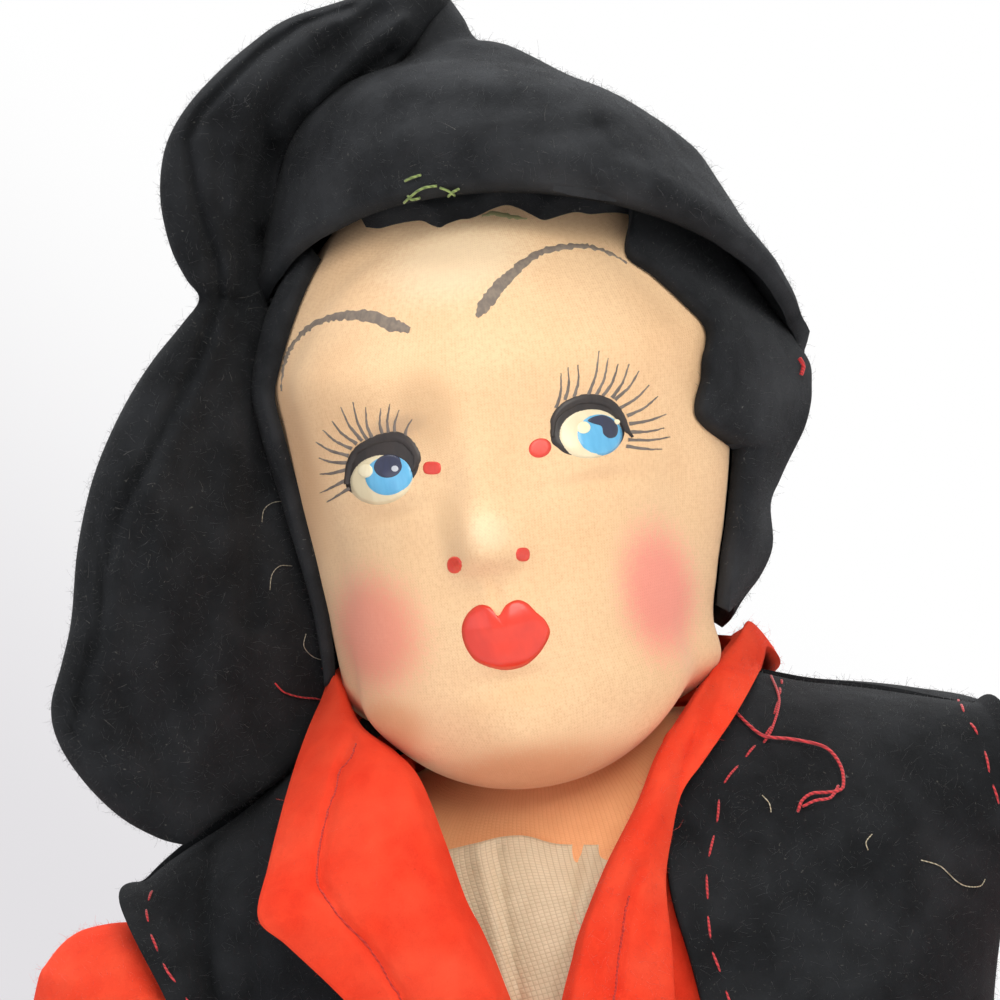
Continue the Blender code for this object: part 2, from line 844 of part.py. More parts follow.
def waistband_mesh(name):
    """Make the band that hides the seam where the two bodies and the skirt meet."""
    top_share = SKIRT_SHARES[0]
    wide = SKIRT_HALF_WIDTH * top_share[1] + SKIRT_FOLD_DEPTH * top_share[3] + SEAM_GAP
    deep = SKIRT_HALF_DEPTH * top_share[2] + SKIRT_FOLD_DEPTH * top_share[3] + SEAM_GAP
    growth = WAISTBAND_FLARE

    def at(offset):
        def point(across, up):
            angle = math.tau * across
            rise = WAISTBAND_HALF_HEIGHT * (2 * up - 1)
            spread = offset + growth * (1 - up)
            return Vector(
                (
                    (wide + spread) * math.sin(angle),
                    -(deep + spread) * math.cos(angle),
                    WAIST_HEIGHT + rise,
                )
            )

        return point

    return shell(name, TORSO_COLUMNS, 2, at(WAISTBAND_THICKNESS), at(0.0), closed=True)


def neck_profile_mesh(name, grown=0.0):
    """Make the neck's half outline, top to bottom, for turning about the upright."""
    foot = -(NECK_PIVOT_HEIGHT - TORSO_HEIGHT) - NECK_DEPTH_IN_TORSO - grown
    waist = -(NECK_PIVOT_HEIGHT - TORSO_HEIGHT)
    dome = NECK_DOME_RADIUS + grown
    points = [
        (dome * math.sin(angle), dome * math.cos(angle))
        for angle in (NECK_DOME_SPAN * i / DOME_STEPS for i in range(DOME_STEPS + 1))
    ]
    points[0] = (0.0, dome)
    points.append((NECK_FOOT_RADIUS + grown, waist))
    points.append((NECK_FOOT_RADIUS + grown, foot))
    points.append((0.0, foot))
    mesh = bpy.data.meshes.new(name)
    mesh.from_pydata(
        [(x, 0.0, z) for x, z in points],
        [(i, i + 1) for i in range(len(points) - 1)],
        [],
    )
    return mesh


def turn_profile(piece):
    """Turn a half outline about its upright axis."""
    screw = piece.modifiers.new("turned", "SCREW")
    screw.axis = "Z"
    screw.steps = BALL_SEGMENTS
    screw.render_steps = BALL_SEGMENTS
    screw.use_merge_vertices = True
    screw.merge_threshold = WELD_DISTANCE


class HalfDoll:
    """One half doll: everything from the waist to the crown, on one pivot at the waist."""

    def __init__(self, prefix, upside_down, tilt, turn):
        """Set up the pivots at the waist, the neck and the shoulders."""
        self.prefix = prefix
        flip = Matrix.Rotation(math.pi, 4, "Y") if upside_down else Matrix()
        self.root = make_empty(prefix + "_waist_pivot", (0, 0, WAIST_HEIGHT), None, flip)
        lean = Matrix.Rotation(tilt, 4, "Y") @ Matrix.Rotation(turn, 4, "Z")
        self.neck_pivot = make_empty(
            prefix + "_neck_pivot",
            (0, NECK_PIVOT_BACK, NECK_PIVOT_HEIGHT),
            self.root,
            lean,
        )
        self.head_place = (0, -HEAD_FORWARD, HEAD_CENTRE_RISE)
        self.shoulder_cutters = []

    def name(self, piece):
        """Give a piece's full name."""
        return self.prefix + "_" + piece

    def add(self, piece, mesh, material, parent=None, location=(0, 0, 0)):
        """Add one named piece."""
        return make_object(
            self.name(piece), mesh, material, parent or self.root, location
        )

    def build_arms(self, half_width, spread, sleeve_material):
        """Build both arms, their sleeves and the cutters that seat them."""
        form = arm_form()
        for side, word in ((-1, "right"), (1, "left")):
            place = (side * half_width, TORSO_TOP_SHIFT / 2, SHOULDER_HEIGHT)
            turn = Matrix.Rotation(-side * spread, 4, "Y")
            pivot = make_empty(self.name(f"shoulder_{word}_pivot"), place, self.root, turn)
            levels = even_levels(form.last, LIMB_ROWS)
            arm = form.body(self.name("arm_" + word), LIMB_COLUMNS, levels)
            self.add("arm_" + word, arm, FLESH_CLOTH, pivot)
            self.add("sleeve_" + word, self.sleeve_mesh(form, word), sleeve_material, pivot)
            cutter = ball(self.name("shoulder_cut_" + word), SHOULDER_CLEAR_RADIUS)
            self.shoulder_cutters.append(
                make_cutter(cutter.name, cutter, self.root, place)
            )

    def sleeve_mesh(self, form, word):
        """Make a sleeve, closed over the shoulder and open at the cuff."""

        def at(offset):
            def point(across, up):
                station = ARM_CUFF_STATION * (1 - up)
                flare = CUFF_FLARE * (1 - up) ** 2
                return form.point(station, math.tau * across, offset + flare)

            return point

        return shell(
            self.name("sleeve_" + word),
            LIMB_COLUMNS,
            SLEEVE_ROWS,
            at(SLEEVE_OUTER),
            at(SLEEVE_INNER),
            closed=True,
        )

    def build_torso(self):
        """Build the stuffed body and the neck that stands in it."""
        form = torso_form()
        levels = torso_levels(0.0, form.last)
        mesh = form.body(self.name("torso"), TORSO_COLUMNS, levels)
        for vert in mesh.vertices:
            vert.co.z = max(vert.co.z, WAIST_JOIN_GAP / 2)
        self.torso = self.add("torso", mesh, FLESH_CLOTH)
        neck = self.add(
            "neck", neck_profile_mesh(self.name("neck")), FLESH_CLOTH, self.neck_pivot
        )
        turn_profile(neck)
        hole = make_cutter(
            self.name("neck_cut"),
            neck_profile_mesh(self.name("neck_cut"), SEAM_GAP),
            self.neck_pivot,
        )
        turn_profile(hole)
        self.neck_cutter = hole
        cut(self.torso, hole)
        for cutter in self.shoulder_cutters:
            cut(self.torso, cutter)

    def build_head(self):
        """Build the stuffed head and its mask."""
        core = ball(self.name("head"), 0.0, core_reach)
        self.head = self.add("head", core, FLESH_CLOTH, self.neck_pivot, self.head_place)
        cut(self.head, self.neck_cutter)
        self.add(
            "face_mask",
            mask_mesh(self.name("face_mask")),
            FLESH_CLOTH,
            self.neck_pivot,
            self.head_place,
        )

    def build_fringe(self, low, material):
        """Build the hair over the forehead."""
        mesh = hair_mesh(
            self.name("hair_fringe"), FRINGE_COLUMNS, 2, fringe_place(low)
        )
        self.add("hair_fringe", mesh, material, self.neck_pivot, self.head_place)

    def build_side_hair(self, material, loose_left):
        """Build the two side pieces; the left one may stand away from the head."""
        for side, word in ((-1, "right"), (1, "left")):
            stand = side_hair_stand if loose_left and side > 0 else None
            mesh = hair_mesh(
                self.name("hair_" + word), HAIR_COLUMNS, HAIR_ROWS, side_hair_place(side), stand
            )
            self.add("hair_" + word, mesh, material, self.neck_pivot, self.head_place)

    def build_back_hair(self, material):
        """Build the hair over the nape."""
        mesh = hair_mesh(self.name("hair_back"), HAIR_COLUMNS, HAIR_ROWS, back_hair_place)
        self.add("hair_back", mesh, material, self.neck_pivot, self.head_place)

    def cut_by_shoulders(self, piece):
        """Give a piece of clothing its two armholes."""
        for cutter in self.shoulder_cutters:
            cut(piece, cutter)


def build_upper():
    """Build the half doll that stands above the skirt."""
    doll = HalfDoll("upper", False, HEAD_TILT, HEAD_TURN)
    doll.build_arms(SHOULDER_HALF_WIDTH, UPPER_ARM_SPREAD, RED_FELT_CLOTH)
    doll.build_torso()
    doll.build_head()
    doll.build_fringe(HAIR_FRINGE_LOW, BLACK_FELT_CLOTH)
    doll.build_side_hair(BLACK_FELT_CLOTH, True)
    doll.build_back_hair(BLACK_FELT_CLOTH)
    build_cap(doll)
    build_shirt(doll)
    build_vest(doll)
    build_collar(doll)


def build_cap(doll):
    """Build the stocking cap's crown and its tail."""
    crown = crown_mesh(
        doll.name("cap_crown"),
        CAP_BRIM_MEAN,
        CAP_BRIM_SWING,
        CAP_PEAK_RISE,
        CAP_SWELL,
        CAP_FELT_THICKNESS,
        CAP_SIDE_LIFT,
    )
    doll.add("cap_crown", crown, BLACK_FELT_CLOTH, doll.neck_pivot, doll.head_place)
    hinge = make_empty(
        doll.name("cap_tail_pivot"),
        (TAIL_HINGE_ACROSS, -HEAD_FORWARD, HEAD_CENTRE_RISE + TAIL_HINGE_RISE),
        doll.neck_pivot,
    )
    tail = doll.add(
        "cap_tail", tail_mesh(doll.name("cap_tail")), BLACK_FELT_CLOTH, hinge
    )

    def covered(way):
        latitude = math.asin(max(-1.0, min(1.0, way.z)))
        longitude = math.atan2(way.x, -way.y)
        low = brim_latitude(longitude, CAP_BRIM_MEAN, CAP_BRIM_SWING)
        up = (latitude - low) / (math.pi / 2 - low)
        reach = hair_reach(way)
        if up > 0:
            rounded = CAP_SWELL * math.sin(math.pi * up)
            reach += CAP_GAP + CAP_FELT_THICKNESS + rounded
            reach += CAP_PEAK_RISE * up**CAP_PEAK_POWER_SHARE
        return reach + TAIL_REST_GAP

    cutter = make_cutter(
        "cap_tail_cut",
        ball("cap_tail_cut", 0.0, covered, finer=2),
        doll.neck_pivot,
        doll.head_place,
    )
    cut(tail, cutter)


def build_shirt(doll):
    """Build the silk dickey and the felt shirt over it."""
    dickey = wrap(
        doll.name("dickey"),
        HAIR_COLUMNS,
        DICKEY_INNER,
        DICKEY_OUTER,
        DICKEY_BOTTOM_SHARE,
        DICKEY_TOP_SHARE,
        lambda up: -DICKEY_HALF_SPREAD,
        lambda up: DICKEY_HALF_SPREAD,
    )
    doll.add("dickey", dickey, SILK_CLOTH)
    edge = opening(SHIRT_OPENING_ANGLES)
    shirt = wrap(
        doll.name("shirt"),
        TORSO_COLUMNS,
        SHIRT_INNER,
        SHIRT_OUTER,
        SHIRT_BOTTOM_SHARE,
        SHIRT_TOP_SHARE,
        edge,
        lambda up: math.tau - edge(up),
    )
    doll.cut_by_shoulders(doll.add("shirt", shirt, RED_FELT_CLOTH))


def build_vest(doll):
    """Build the waistcoat: two fronts and a back that meet at the side and shoulder seams."""
    edge = opening(VEST_OPENING_ANGLES)
    seam = VEST_SEAM_HALF_ANGLE
    quarter = math.pi / 2
    panels = {
        "vest_left": (VEST_FRONT_COLUMNS, edge, lambda up: quarter - seam),
        "vest_back": (
            VEST_BACK_COLUMNS,
            lambda up: quarter + seam,
            lambda up: 3 * quarter - seam,
        ),
        "vest_right": (
            VEST_FRONT_COLUMNS,
            lambda up: 3 * quarter + seam,
            lambda up: math.tau - edge(up),
        ),
    }
    for word, (columns, start, end) in panels.items():
        mesh = wrap(
            doll.name(word),
            columns,
            VEST_INNER,
            VEST_OUTER,
            VEST_BOTTOM_SHARE,
            VEST_TOP_SHARE,
            start,
            end,
        )
        doll.cut_by_shoulders(doll.add(word, mesh, BLACK_FELT_CLOTH))


def build_collar(doll):
    """Build the two halves of the collar, resting on the waistcoat."""
    form = torso_form()
    levels = torso_levels(COLLAR_CUT_START, form.last)
    seat = form.body("collar_cut", TORSO_COLUMNS, levels, COLLAR_SEAT)
    cutter = make_cutter("collar_cut", seat, doll.root)
    for side, word in ((-1, "right"), (1, "left")):
        mesh = collar_mesh(doll.name("collar_" + word), side)
        piece = doll.add("collar_" + word, mesh, RED_FELT_CLOTH)
        cut(piece, cutter)


def build_lower():
    """Build the half doll that hangs inside the skirt."""
    doll = HalfDoll("lower", True, 0.0, 0.0)
    doll.build_arms(LOWER_SHOULDER_HALF_WIDTH, LOWER_ARM_SPREAD, CREAM_COTTON_CLOTH)
    doll.build_torso()
    doll.build_head()
    doll.build_fringe(HAIR_FRINGE_LOW, BROWN_FELT_CLOTH)
    doll.build_side_hair(BROWN_FELT_CLOTH, False)
    doll.build_back_hair(BROWN_FELT_CLOTH)
    kerchief = crown_mesh(
        doll.name("kerchief"),
        CAP_BRIM_MEAN,
        CAP_BRIM_SWING,
        0.0,
        0.0,
        FELT_THICKNESS,
        0.0,
    )
    doll.add("kerchief", kerchief, RED_COTTON_CLOTH, doll.neck_pivot, doll.head_place)
    blouse = wrap(
        doll.name("blouse"),
        TORSO_COLUMNS,
        BLOUSE_INNER,
        BLOUSE_OUTER,
        SHIRT_BOTTOM_SHARE,
        BLOUSE_TOP_SHARE,
        lambda up: VEST_SEAM_HALF_ANGLE,
        lambda up: math.tau - VEST_SEAM_HALF_ANGLE,
    )
    doll.cut_by_shoulders(doll.add("blouse", blouse, CREAM_COTTON_CLOTH))
    collar = wrap(
        doll.name("collar"),
        TORSO_COLUMNS,
        ROUND_COLLAR_INNER,
        ROUND_COLLAR_OUTER,
        ROUND_COLLAR_BOTTOM_SHARE,
        ROUND_COLLAR_TOP_SHARE,
        lambda up: ROUND_COLLAR_OPENING,
        lambda up: math.tau - ROUND_COLLAR_OPENING,
    )
    doll.cut_by_shoulders(doll.add("collar", collar, RED_COTTON_CLOTH))


def build_skirt():
    """Build the skirt's two plies and the waistband over their top edge."""
    outer = skirt_mesh("skirt_outer", 0.0, FELT_THICKNESS, 0.0)
    make_object("skirt_outer", outer, BLACK_FELT_CLOTH, None)
    lining = skirt_mesh(
        "skirt_lining",
        FELT_THICKNESS + SKIRT_PLIES_GAP,
        COTTON_THICKNESS,
        LINING_HEM_RISE,
    )
    make_object("skirt_lining", lining, RED_COTTON_CLOTH, None)
    make_object("waistband", waistband_mesh("waistband"), RED_FELT_CLOTH, None)


clear_scene()
DOLL = make_collection("topsy_turvy_doll")
CUTTERS = make_collection("cutters", shown=False)
FLESH_CLOTH = make_material("flesh_cloth", FLESH, 0.8)
BLACK_FELT_CLOTH = make_material("black_felt", BLACK_FELT, 0.95)
RED_FELT_CLOTH = make_material("red_felt", RED_FELT, 0.95)
SILK_CLOTH = make_material("cream_silk", CREAM_SILK, 0.45)
RED_COTTON_CLOTH = make_material("red_cotton", RED_COTTON, 0.85)
BROWN_FELT_CLOTH = make_material("brown_felt", BROWN_FELT, 0.95)
CREAM_COTTON_CLOTH = make_material("cream_cotton", CREAM_COTTON, 0.85)
build_upper()
build_lower()
build_skirt()
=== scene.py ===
"""Looks of the topsy-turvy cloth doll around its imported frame.

Every surface that shows is dressed here: knitted face cloth with painted features, felt
with its fuzz and hand stitches, silk, cotton and stray threads. Lengths are in metres.
"""

import logging
import math
import random
from dataclasses import dataclass
from enum import Enum
from functools import cached_property, lru_cache
from typing import Callable, Sequence

import bmesh
import bpy
from mathutils import Matrix, Vector, noise
from mathutils.bvhtree import BVHTree


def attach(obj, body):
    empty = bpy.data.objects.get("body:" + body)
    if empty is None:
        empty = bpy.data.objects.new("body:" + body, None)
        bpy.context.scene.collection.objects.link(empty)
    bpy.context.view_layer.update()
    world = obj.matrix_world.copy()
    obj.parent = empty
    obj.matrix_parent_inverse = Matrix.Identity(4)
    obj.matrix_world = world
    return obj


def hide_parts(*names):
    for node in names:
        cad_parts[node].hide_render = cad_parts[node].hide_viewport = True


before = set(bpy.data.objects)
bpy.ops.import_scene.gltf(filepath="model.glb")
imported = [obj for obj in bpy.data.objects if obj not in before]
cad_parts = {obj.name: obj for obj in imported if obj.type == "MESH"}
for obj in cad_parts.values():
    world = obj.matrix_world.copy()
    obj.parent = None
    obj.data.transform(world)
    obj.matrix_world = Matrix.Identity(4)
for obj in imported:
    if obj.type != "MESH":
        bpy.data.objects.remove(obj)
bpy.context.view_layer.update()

LOG = logging.getLogger("topsy_turvy_doll")
MM = 0.001
UV_NAME = "cloth_mm"
Pixel = tuple[float, float]
Material = bpy.types.Material
Thing = bpy.types.Object
Tree = bpy.types.NodeTree
Socket = bpy.types.NodeSocket
Place = Callable[[float, float], Vector]


class Body(Enum):
    """The moving bodies that the doll's pieces ride on."""

    ROOT = "root"
    UPPER_NECK = "upper_neck"
    UPPER_HEAD = "upper_head"
    CAP_TAIL = "upper_cap_tail"
    LOWER_NECK = "lower_neck"
    LOWER_HEAD = "lower_head"
    UPPER_ARM_LEFT = "upper_arm_left"
    UPPER_ARM_RIGHT = "upper_arm_right"
    LOWER_ARM_LEFT = "lower_arm_left"
    LOWER_ARM_RIGHT = "lower_arm_right"


def to_linear(hex_colour: str) -> tuple[float, float, float, float]:
    """Turn an sRGB hex colour into linear values.

    Args:
        hex_colour: Six hex digits, with or without a leading #.

    Returns:
        Linear red, green, blue and an alpha of 1.
    """
    digits = hex_colour.lstrip("#")
    channels = [int(digits[i : i + 2], 16) / 255 for i in (0, 2, 4)]
    linear = [c / 12.92 if c <= 0.04045 else ((c + 0.055) / 1.055) ** 2.4 for c in channels]
    return (linear[0], linear[1], linear[2], 1.0)


def smooth_step(low: float, high: float, value: float) -> float:
    """Go smoothly from 0 at low to 1 at high."""
    part = min(max((value - low) / (high - low), 0.0), 1.0)
    return part * part * (3 - 2 * part)


def spline(values: Sequence[float], place: float) -> float:
    """Read a smooth curve through evenly numbered values.

    Args:
        values: The values to pass through.
        place: A number from 0 to the last value's index.

    Returns:
        The value of the curve there.
    """
    last = len(values) - 1
    index = max(0, min(int(place), last - 1))
    part = place - index
    before = values[max(index - 1, 0)]
    first = values[index]
    second = values[index + 1]
    after = values[min(index + 2, last)]
    rise = (second - before) / 2
    fall = (after - first) / 2
    square = part * part
    cube = square * part
    return (
        first * (2 * cube - 3 * square + 1) + rise * (cube - 2 * square + part)
        + second * (3 * square - 2 * cube) + fall * (cube - square)
    )


def spline_row(rows: Sequence[Sequence[float]], share: float) -> tuple[float, ...]:
    """Read all columns of a table of rows at a share of its length."""
    place = share * (len(rows) - 1)
    return tuple(spline(column, place) for column in zip(*rows))


@dataclass(frozen=True)
class PhotoView:
    """The photograph's viewing angle and the way from its pixels into the doll's space."""

    frame_px: int = 1000
    px_size: float = 0.12 * MM
    distance: float = 0.95
    scale_depth: float = -0.022
    roll: float = math.radians(14.5)
    anchor: tuple[float, float, float] = (0.0021, -0.0029, 0.2899)
    anchor_px: Pixel = (517.0, 498.0)
    sensor_mm: float = 36.0

    @property
    def right(self) -> Vector:
        """The picture's right in the doll's space."""
        return Vector((math.cos(self.roll), 0.0, -math.sin(self.roll)))

    @property
    def up(self) -> Vector:
        """The picture's up in the doll's space."""
        return Vector((math.sin(self.roll), 0.0, math.cos(self.roll)))

    @property
    def slope(self) -> float:
        """How far a ray moves sideways per pixel and metre of depth."""
        return self.px_size / self.distance

    def ray(self, px: float, py: float) -> Vector:
        """Give the direction through a pixel, a metre deep."""
        half = self.frame_px / 2
        sideways = self.right * ((px - half) * self.slope)
        upward = self.up * ((half - py) * self.slope)
        return Vector((0, 1, 0)) + sideways + upward

    @property
    def eye(self) -> Vector:
        """Where the camera stands."""
        anchor = Vector(self.anchor)
        depth = self.distance + anchor.y - self.scale_depth
        return anchor - self.ray(*self.anchor_px) * depth

    def point(self, px: float, py: float, depth: float) -> Vector:
        """Give the place that a pixel shows at a depth along +Y."""
        eye = self.eye
        return eye + self.ray(px, py) * (depth - eye.y)

    def build(self) -> Thing:
        """Make the camera."""
        data = bpy.data.cameras.new("photo_camera")
        data.sensor_width = self.sensor_mm
        data.lens = self.sensor_mm / (self.frame_px * self.slope)
        data.clip_start = 0.05
        data.clip_end = 20.0
        camera = bpy.data.objects.new("photo_camera", data)
        bpy.context.scene.collection.objects.link(camera)
        turn = Matrix((self.right, self.up, Vector((0, -1, 0)))).transposed()
        camera.matrix_world = Matrix.Translation(self.eye) @ turn.to_4x4()
        bpy.context.scene.camera = camera
        return camera


VIEW = PhotoView()


def add_node(tree: Tree, kind: str, *inputs, output: int | str = 0, **settings) -> Socket | None:
    """Add one shader node with its settings and links.

    Args:
        tree: The node tree to add to.
        kind: The node's type without its first word, and its operation after a blank.
        inputs: A number, hex colour or socket for each input in turn, or a table of them by input.
        output: The output to give, by name or number.
        settings: The node's own settings.

    Returns:
        The output, where the node has one.
    """
    name, _, operation = kind.partition(" ")
    node = tree.nodes.new(f"ShaderNode{name}")
    if operation:
        node.operation = operation
    for key, value in settings.items():
        setattr(node, key, value)
    values: dict = {}
    for index, value in enumerate(inputs):
        values.update(value if isinstance(value, dict) else {index: value})
    for key, value in values.items():
        if isinstance(value, Socket):
            tree.links.new(value, node.inputs[key])
        else:
            node.inputs[key].default_value = to_linear(value) if isinstance(value, str) else value
    return node.outputs[output] if node.outputs else None


# What every blend of two tones says: it works on colours, and its third output has the colour
TONES = {"data_type": "RGBA", "output": 2}


def finish_material(
    name: str, finish: Callable[[Tree], tuple[Socket, Socket]], relief: tuple[float, float], **values
) -> Material:
    """Make a material from what builds its colour and its height.

    Args:
        name: What the material is.
        finish: Builds the nodes and gives the colour and the height.
        relief: The strength and the depth in metres that the height is shown with.
        values: The shader's own values, with _ for a blank.

    Returns:
        The material.
    """
    made = bpy.data.materials.new(name)
    made.use_nodes = True
    tree = made.node_tree
    shader = tree.nodes["Principled BSDF"]
    colour, height = finish(tree)
    tree.links.new(colour, shader.inputs["Base Color"])
    if height:
        bump = add_node(tree, "Bump", {"Strength": relief[0], "Distance": relief[1], "Height": height})
        tree.links.new(bump, shader.inputs["Normal"])
    for key, value in values.items():
        shader.inputs[key.replace("_", " ")].default_value = value
    return made


def cloud_at(tree: Tree, places: Socket, size: float, detail=3.0, low=0.35, high=0.65) -> Socket:
    """Lay a cloudy pattern of a real feature size, with its contrast stretched.

    Args:
        tree: The node tree to add to.
        places: The places in metres.
        size: Feature size in metres.
        detail: Octaves.
        low: Noise value that becomes 0.
        high: Noise value that becomes 1.

    Returns:
        The pattern's value.
    """
    cloud = add_node(tree, "TexNoise", {"Scale": 1 / size, "Detail": detail, "Vector": places}, output="Fac")
    return add_node(tree, "MapRange", {"From Min": low, "From Max": high, "Value": cloud})


def object_places(tree: Tree, scale: tuple[float, float, float] = (1, 1, 1)) -> Socket:
    """Give the object's own coordinates, stretched where asked."""
    places = add_node(tree, "TexCoord", output="Object")
    return places if scale == (1, 1, 1) else add_node(tree, "Mapping", {"Scale": scale, "Vector": places})


def cloth_places(tree: Tree) -> tuple[Socket, ...]:
    """Give the two cloth coordinates in millimetres."""
    both = add_node(tree, "UVMap", uv_map=UV_NAME)
    return tuple(add_node(tree, "SeparateXYZ", both, output=axis) for axis in (0, 1))


@dataclass(frozen=True)
class Felt:
    """Pressed wool felt: dull, soft-edged, with clumped fibres and pale lint caught in it."""

    name: str
    colour: str
    shade: str
    worn: str
    fleck: str
    fleck_share: float = 0.5
    sheen: float = 0.35
    clump: float = 3.2 * MM
    fibre: float = 0.42 * MM
    relief: float = 0.16 * MM

    def finish(self, tree: Tree) -> tuple[Socket, Socket]:
        """Let fibre clumps lighten the felt and fibres break up its surface."""
        places = object_places(tree)
        clumps = cloud_at(tree, places, self.clump, 5.0, 0.36, 0.66)
        wear = cloud_at(tree, places, 11 * MM, 4.0, 0.42, 0.72)
        fibre = {"Scale": 1 / self.fibre, "Detail": 4.0, "Roughness": 0.72, "Distortion": 2.4}
        strands = add_node(tree, "TexNoise", fibre | {"Vector": places}, output="Fac")
        lit = add_node(tree, "Math MULTIPLY_ADD", strands, 0.9, add_node(tree, "Math MULTIPLY", clumps, 0.35))
        share = add_node(tree, "Math SUBTRACT", lit, 0.12)
        base = add_node(tree, "Mix", {0: share, 6: self.shade, 7: self.colour}, **TONES)
        share = add_node(tree, "Math MULTIPLY", wear, 0.45)
        worn = add_node(tree, "Mix", {0: share, 6: base, 7: self.worn}, **TONES)
        lint = {"Scale": 1 / (0.9 * MM), "Detail": 2.0, "Distortion": 3.0, "Vector": places}
        flecks = add_node(tree, "TexNoise", lint, output="Fac")
        reach = {"From Min": 0.70, "From Max": 0.76, "To Max": self.fleck_share, "Value": flecks}
        colour = {0: add_node(tree, "MapRange", reach), 6: worn, 7: self.fleck}
        height = add_node(tree, "Math MULTIPLY_ADD", clumps, 0.8, strands)
        return add_node(tree, "Mix", colour, **TONES), height

    def material(self) -> Material:
        """Build the felt."""
        return finish_material(
            self.name, self.finish, (0.9, self.relief), Roughness=0.96, Specular_IOR_Level=0.18,
            Sheen_Weight=self.sheen, Sheen_Roughness=0.55, Sheen_Tint=to_linear(self.worn)
        )


@dataclass(frozen=True)
class RougeAndPaintedLight:
    """A soft round of colour on the face cloth, the cheeks' rouge and also painted shade and painted highlights: its
    centre, its two half spreads and how strong it is.
    """

    centre: Vector
    wide: float
    tall: float
    strength: float
    colour: str


@dataclass(frozen=True)
class KnitCloth:
    """Fine cotton stockinet glued over the mould: matt, cream, with rows of tiny stitches."""

    name: str
    light: str
    dark: str
    # The colour of painted shade laid in the grooves between the stitches
    groove: str
    stitch_wide: float = 0.44
    stitch_tall: float = 0.40
    relief: float = 0.035 * MM
    rouge_and_painted_light: tuple[RougeAndPaintedLight, ...] = ()

    def stitches(self, tree: Tree) -> Socket:
        """Make the height of V-shaped stitches in upright rows."""
        across, along = cloth_places(tree)
        wales = add_node(tree, "Math FRACT", add_node(tree, "Math DIVIDE", across, self.stitch_wide))
        arms = add_node(tree, "Math ABSOLUTE", add_node(tree, "Math SUBTRACT", wales, 0.5))
        rows = add_node(tree, "Math DIVIDE", along, self.stitch_tall)
        slant = add_node(tree, "Math MULTIPLY_ADD", arms, 1.3, rows)
        wave = add_node(tree, "Math SINE", add_node(tree, "Math MULTIPLY", slant, math.tau))
        ridge = add_node(tree, "Math SINE", add_node(tree, "Math MULTIPLY", wales, math.pi))
        half = add_node(tree, "Math MULTIPLY_ADD", wave, 0.5, 0.5)
        rest = add_node(tree, "Math MULTIPLY", ridge, 0.45)
        return add_node(tree, "Math MULTIPLY_ADD", half, 0.55, rest)

    def rouge_and_painted_light_share(self, tree: Tree, places: Socket, fray: Socket, spot: RougeAndPaintedLight) -> Socket:
        """Give how strong one soft, slightly ragged round of colour (rouge, painted shade and painted highlights alike)
        is at each place.
        """
        spread = (1 / spot.wide, 0.35 / spot.wide, 1 / spot.tall)
        away = add_node(tree, "VectorMath SUBTRACT", places, spot.centre)
        scaled = add_node(tree, "VectorMath MULTIPLY", away, spread)
        reach = add_node(tree, "VectorMath LENGTH", scaled, output="Value")
        ragged = add_node(tree, "Math MULTIPLY_ADD", fray, 0.16, reach)
        fall = {"From Min": 1.12, "From Max": 0.30, "To Max": spot.strength, "Value": ragged}
        return add_node(tree, "MapRange", fall, interpolation_type="SMOOTHERSTEP")

    def finish(self, tree: Tree) -> tuple[Socket, Socket]:
        """Stain the cloth softly, darken its stitch grooves with painted shade, and lay on the rouge, the painted shade
        and the painted highlights.
        """
        places = object_places(tree)
        height = self.stitches(tree)
        fray = cloud_at(tree, places, 0.5 * MM, 3.0, 0.35, 0.65)
        stain = add_node(tree, "Math MULTIPLY", cloud_at(tree, places, 14 * MM, 4.0, 0.38, 0.70), 0.55)
        colour = add_node(tree, "Mix", {0: stain, 6: self.light, 7: self.dark}, **TONES)
        # Painted shade: the low parts of the stitches are darkened towards the groove colour
        shaded_pits = add_node(tree, "Math MULTIPLY", add_node(tree, "Math SUBTRACT", 1.0, height), fray)
        share = add_node(tree, "Math MULTIPLY", shaded_pits, 0.42)
        colour = add_node(tree, "Mix", {0: share, 6: colour, 7: self.groove}, **TONES)
        for spot in self.rouge_and_painted_light:
            share = self.rouge_and_painted_light_share(tree, places, fray, spot)
            colour = add_node(tree, "Mix", {0: share, 6: colour, 7: spot.colour}, **TONES)
        return colour, add_node(tree, "Math MULTIPLY_ADD", fray, 0.5, height)

    def material(self) -> Material:
        """Build the cloth."""
        return finish_material(
            self.name, self.finish, (0.7, self.relief), Roughness=0.78, Specular_IOR_Level=0.3,
            Sheen_Weight=0.12
        )


@dataclass(frozen=True)
class WovenCloth:
    """Plain woven cloth: threads over and under at a real spacing, in two tones."""

    name: str
    colour: str
    gap: str
    thread: float
    sheen: float = 0.1
    roughness: float = 0.85
    open_share: float = 0.35
    relief: float = 0.05 * MM

    def finish(self, tree: Tree) -> tuple[Socket, Socket]:
        """Build the weave from two crossed waves."""
        places = object_places(tree)
        step = math.pi / self.thread
        waves = [
            add_node(tree, "Math SINE", add_node(tree, "Math MULTIPLY", way, step)) for way in cloth_places(tree)
        ]
        over = add_node(tree, "Math MULTIPLY", *waves)
        body = add_node(tree, "Math MINIMUM", *(add_node(tree, "Math ABSOLUTE", wave) for wave in waves))
        height = add_node(tree, "Math MULTIPLY_ADD", over, 0.35, body)
        slub = add_node(tree, "Math MULTIPLY", cloud_at(tree, places, 2.5 * MM, 3.0), 0.22)
        holes = add_node(tree, "MapRange", {"From Min": self.open_share, "From Max": 0.02, "Value": body})
        share = add_node(tree, "Math MULTIPLY", holes, 0.7)
        colour = add_node(tree, "Mix", {0: share, 6: self.colour, 7: self.gap}, **TONES)
        return add_node(tree, "Mix", {0: slub, 6: colour, 7: self.gap}, **TONES), height

    def material(self) -> Material:
        """Build the cloth."""
        return finish_material(
            self.name, self.finish, (0.8, self.relief), Roughness=self.roughness, Sheen_Weight=self.sheen
        )


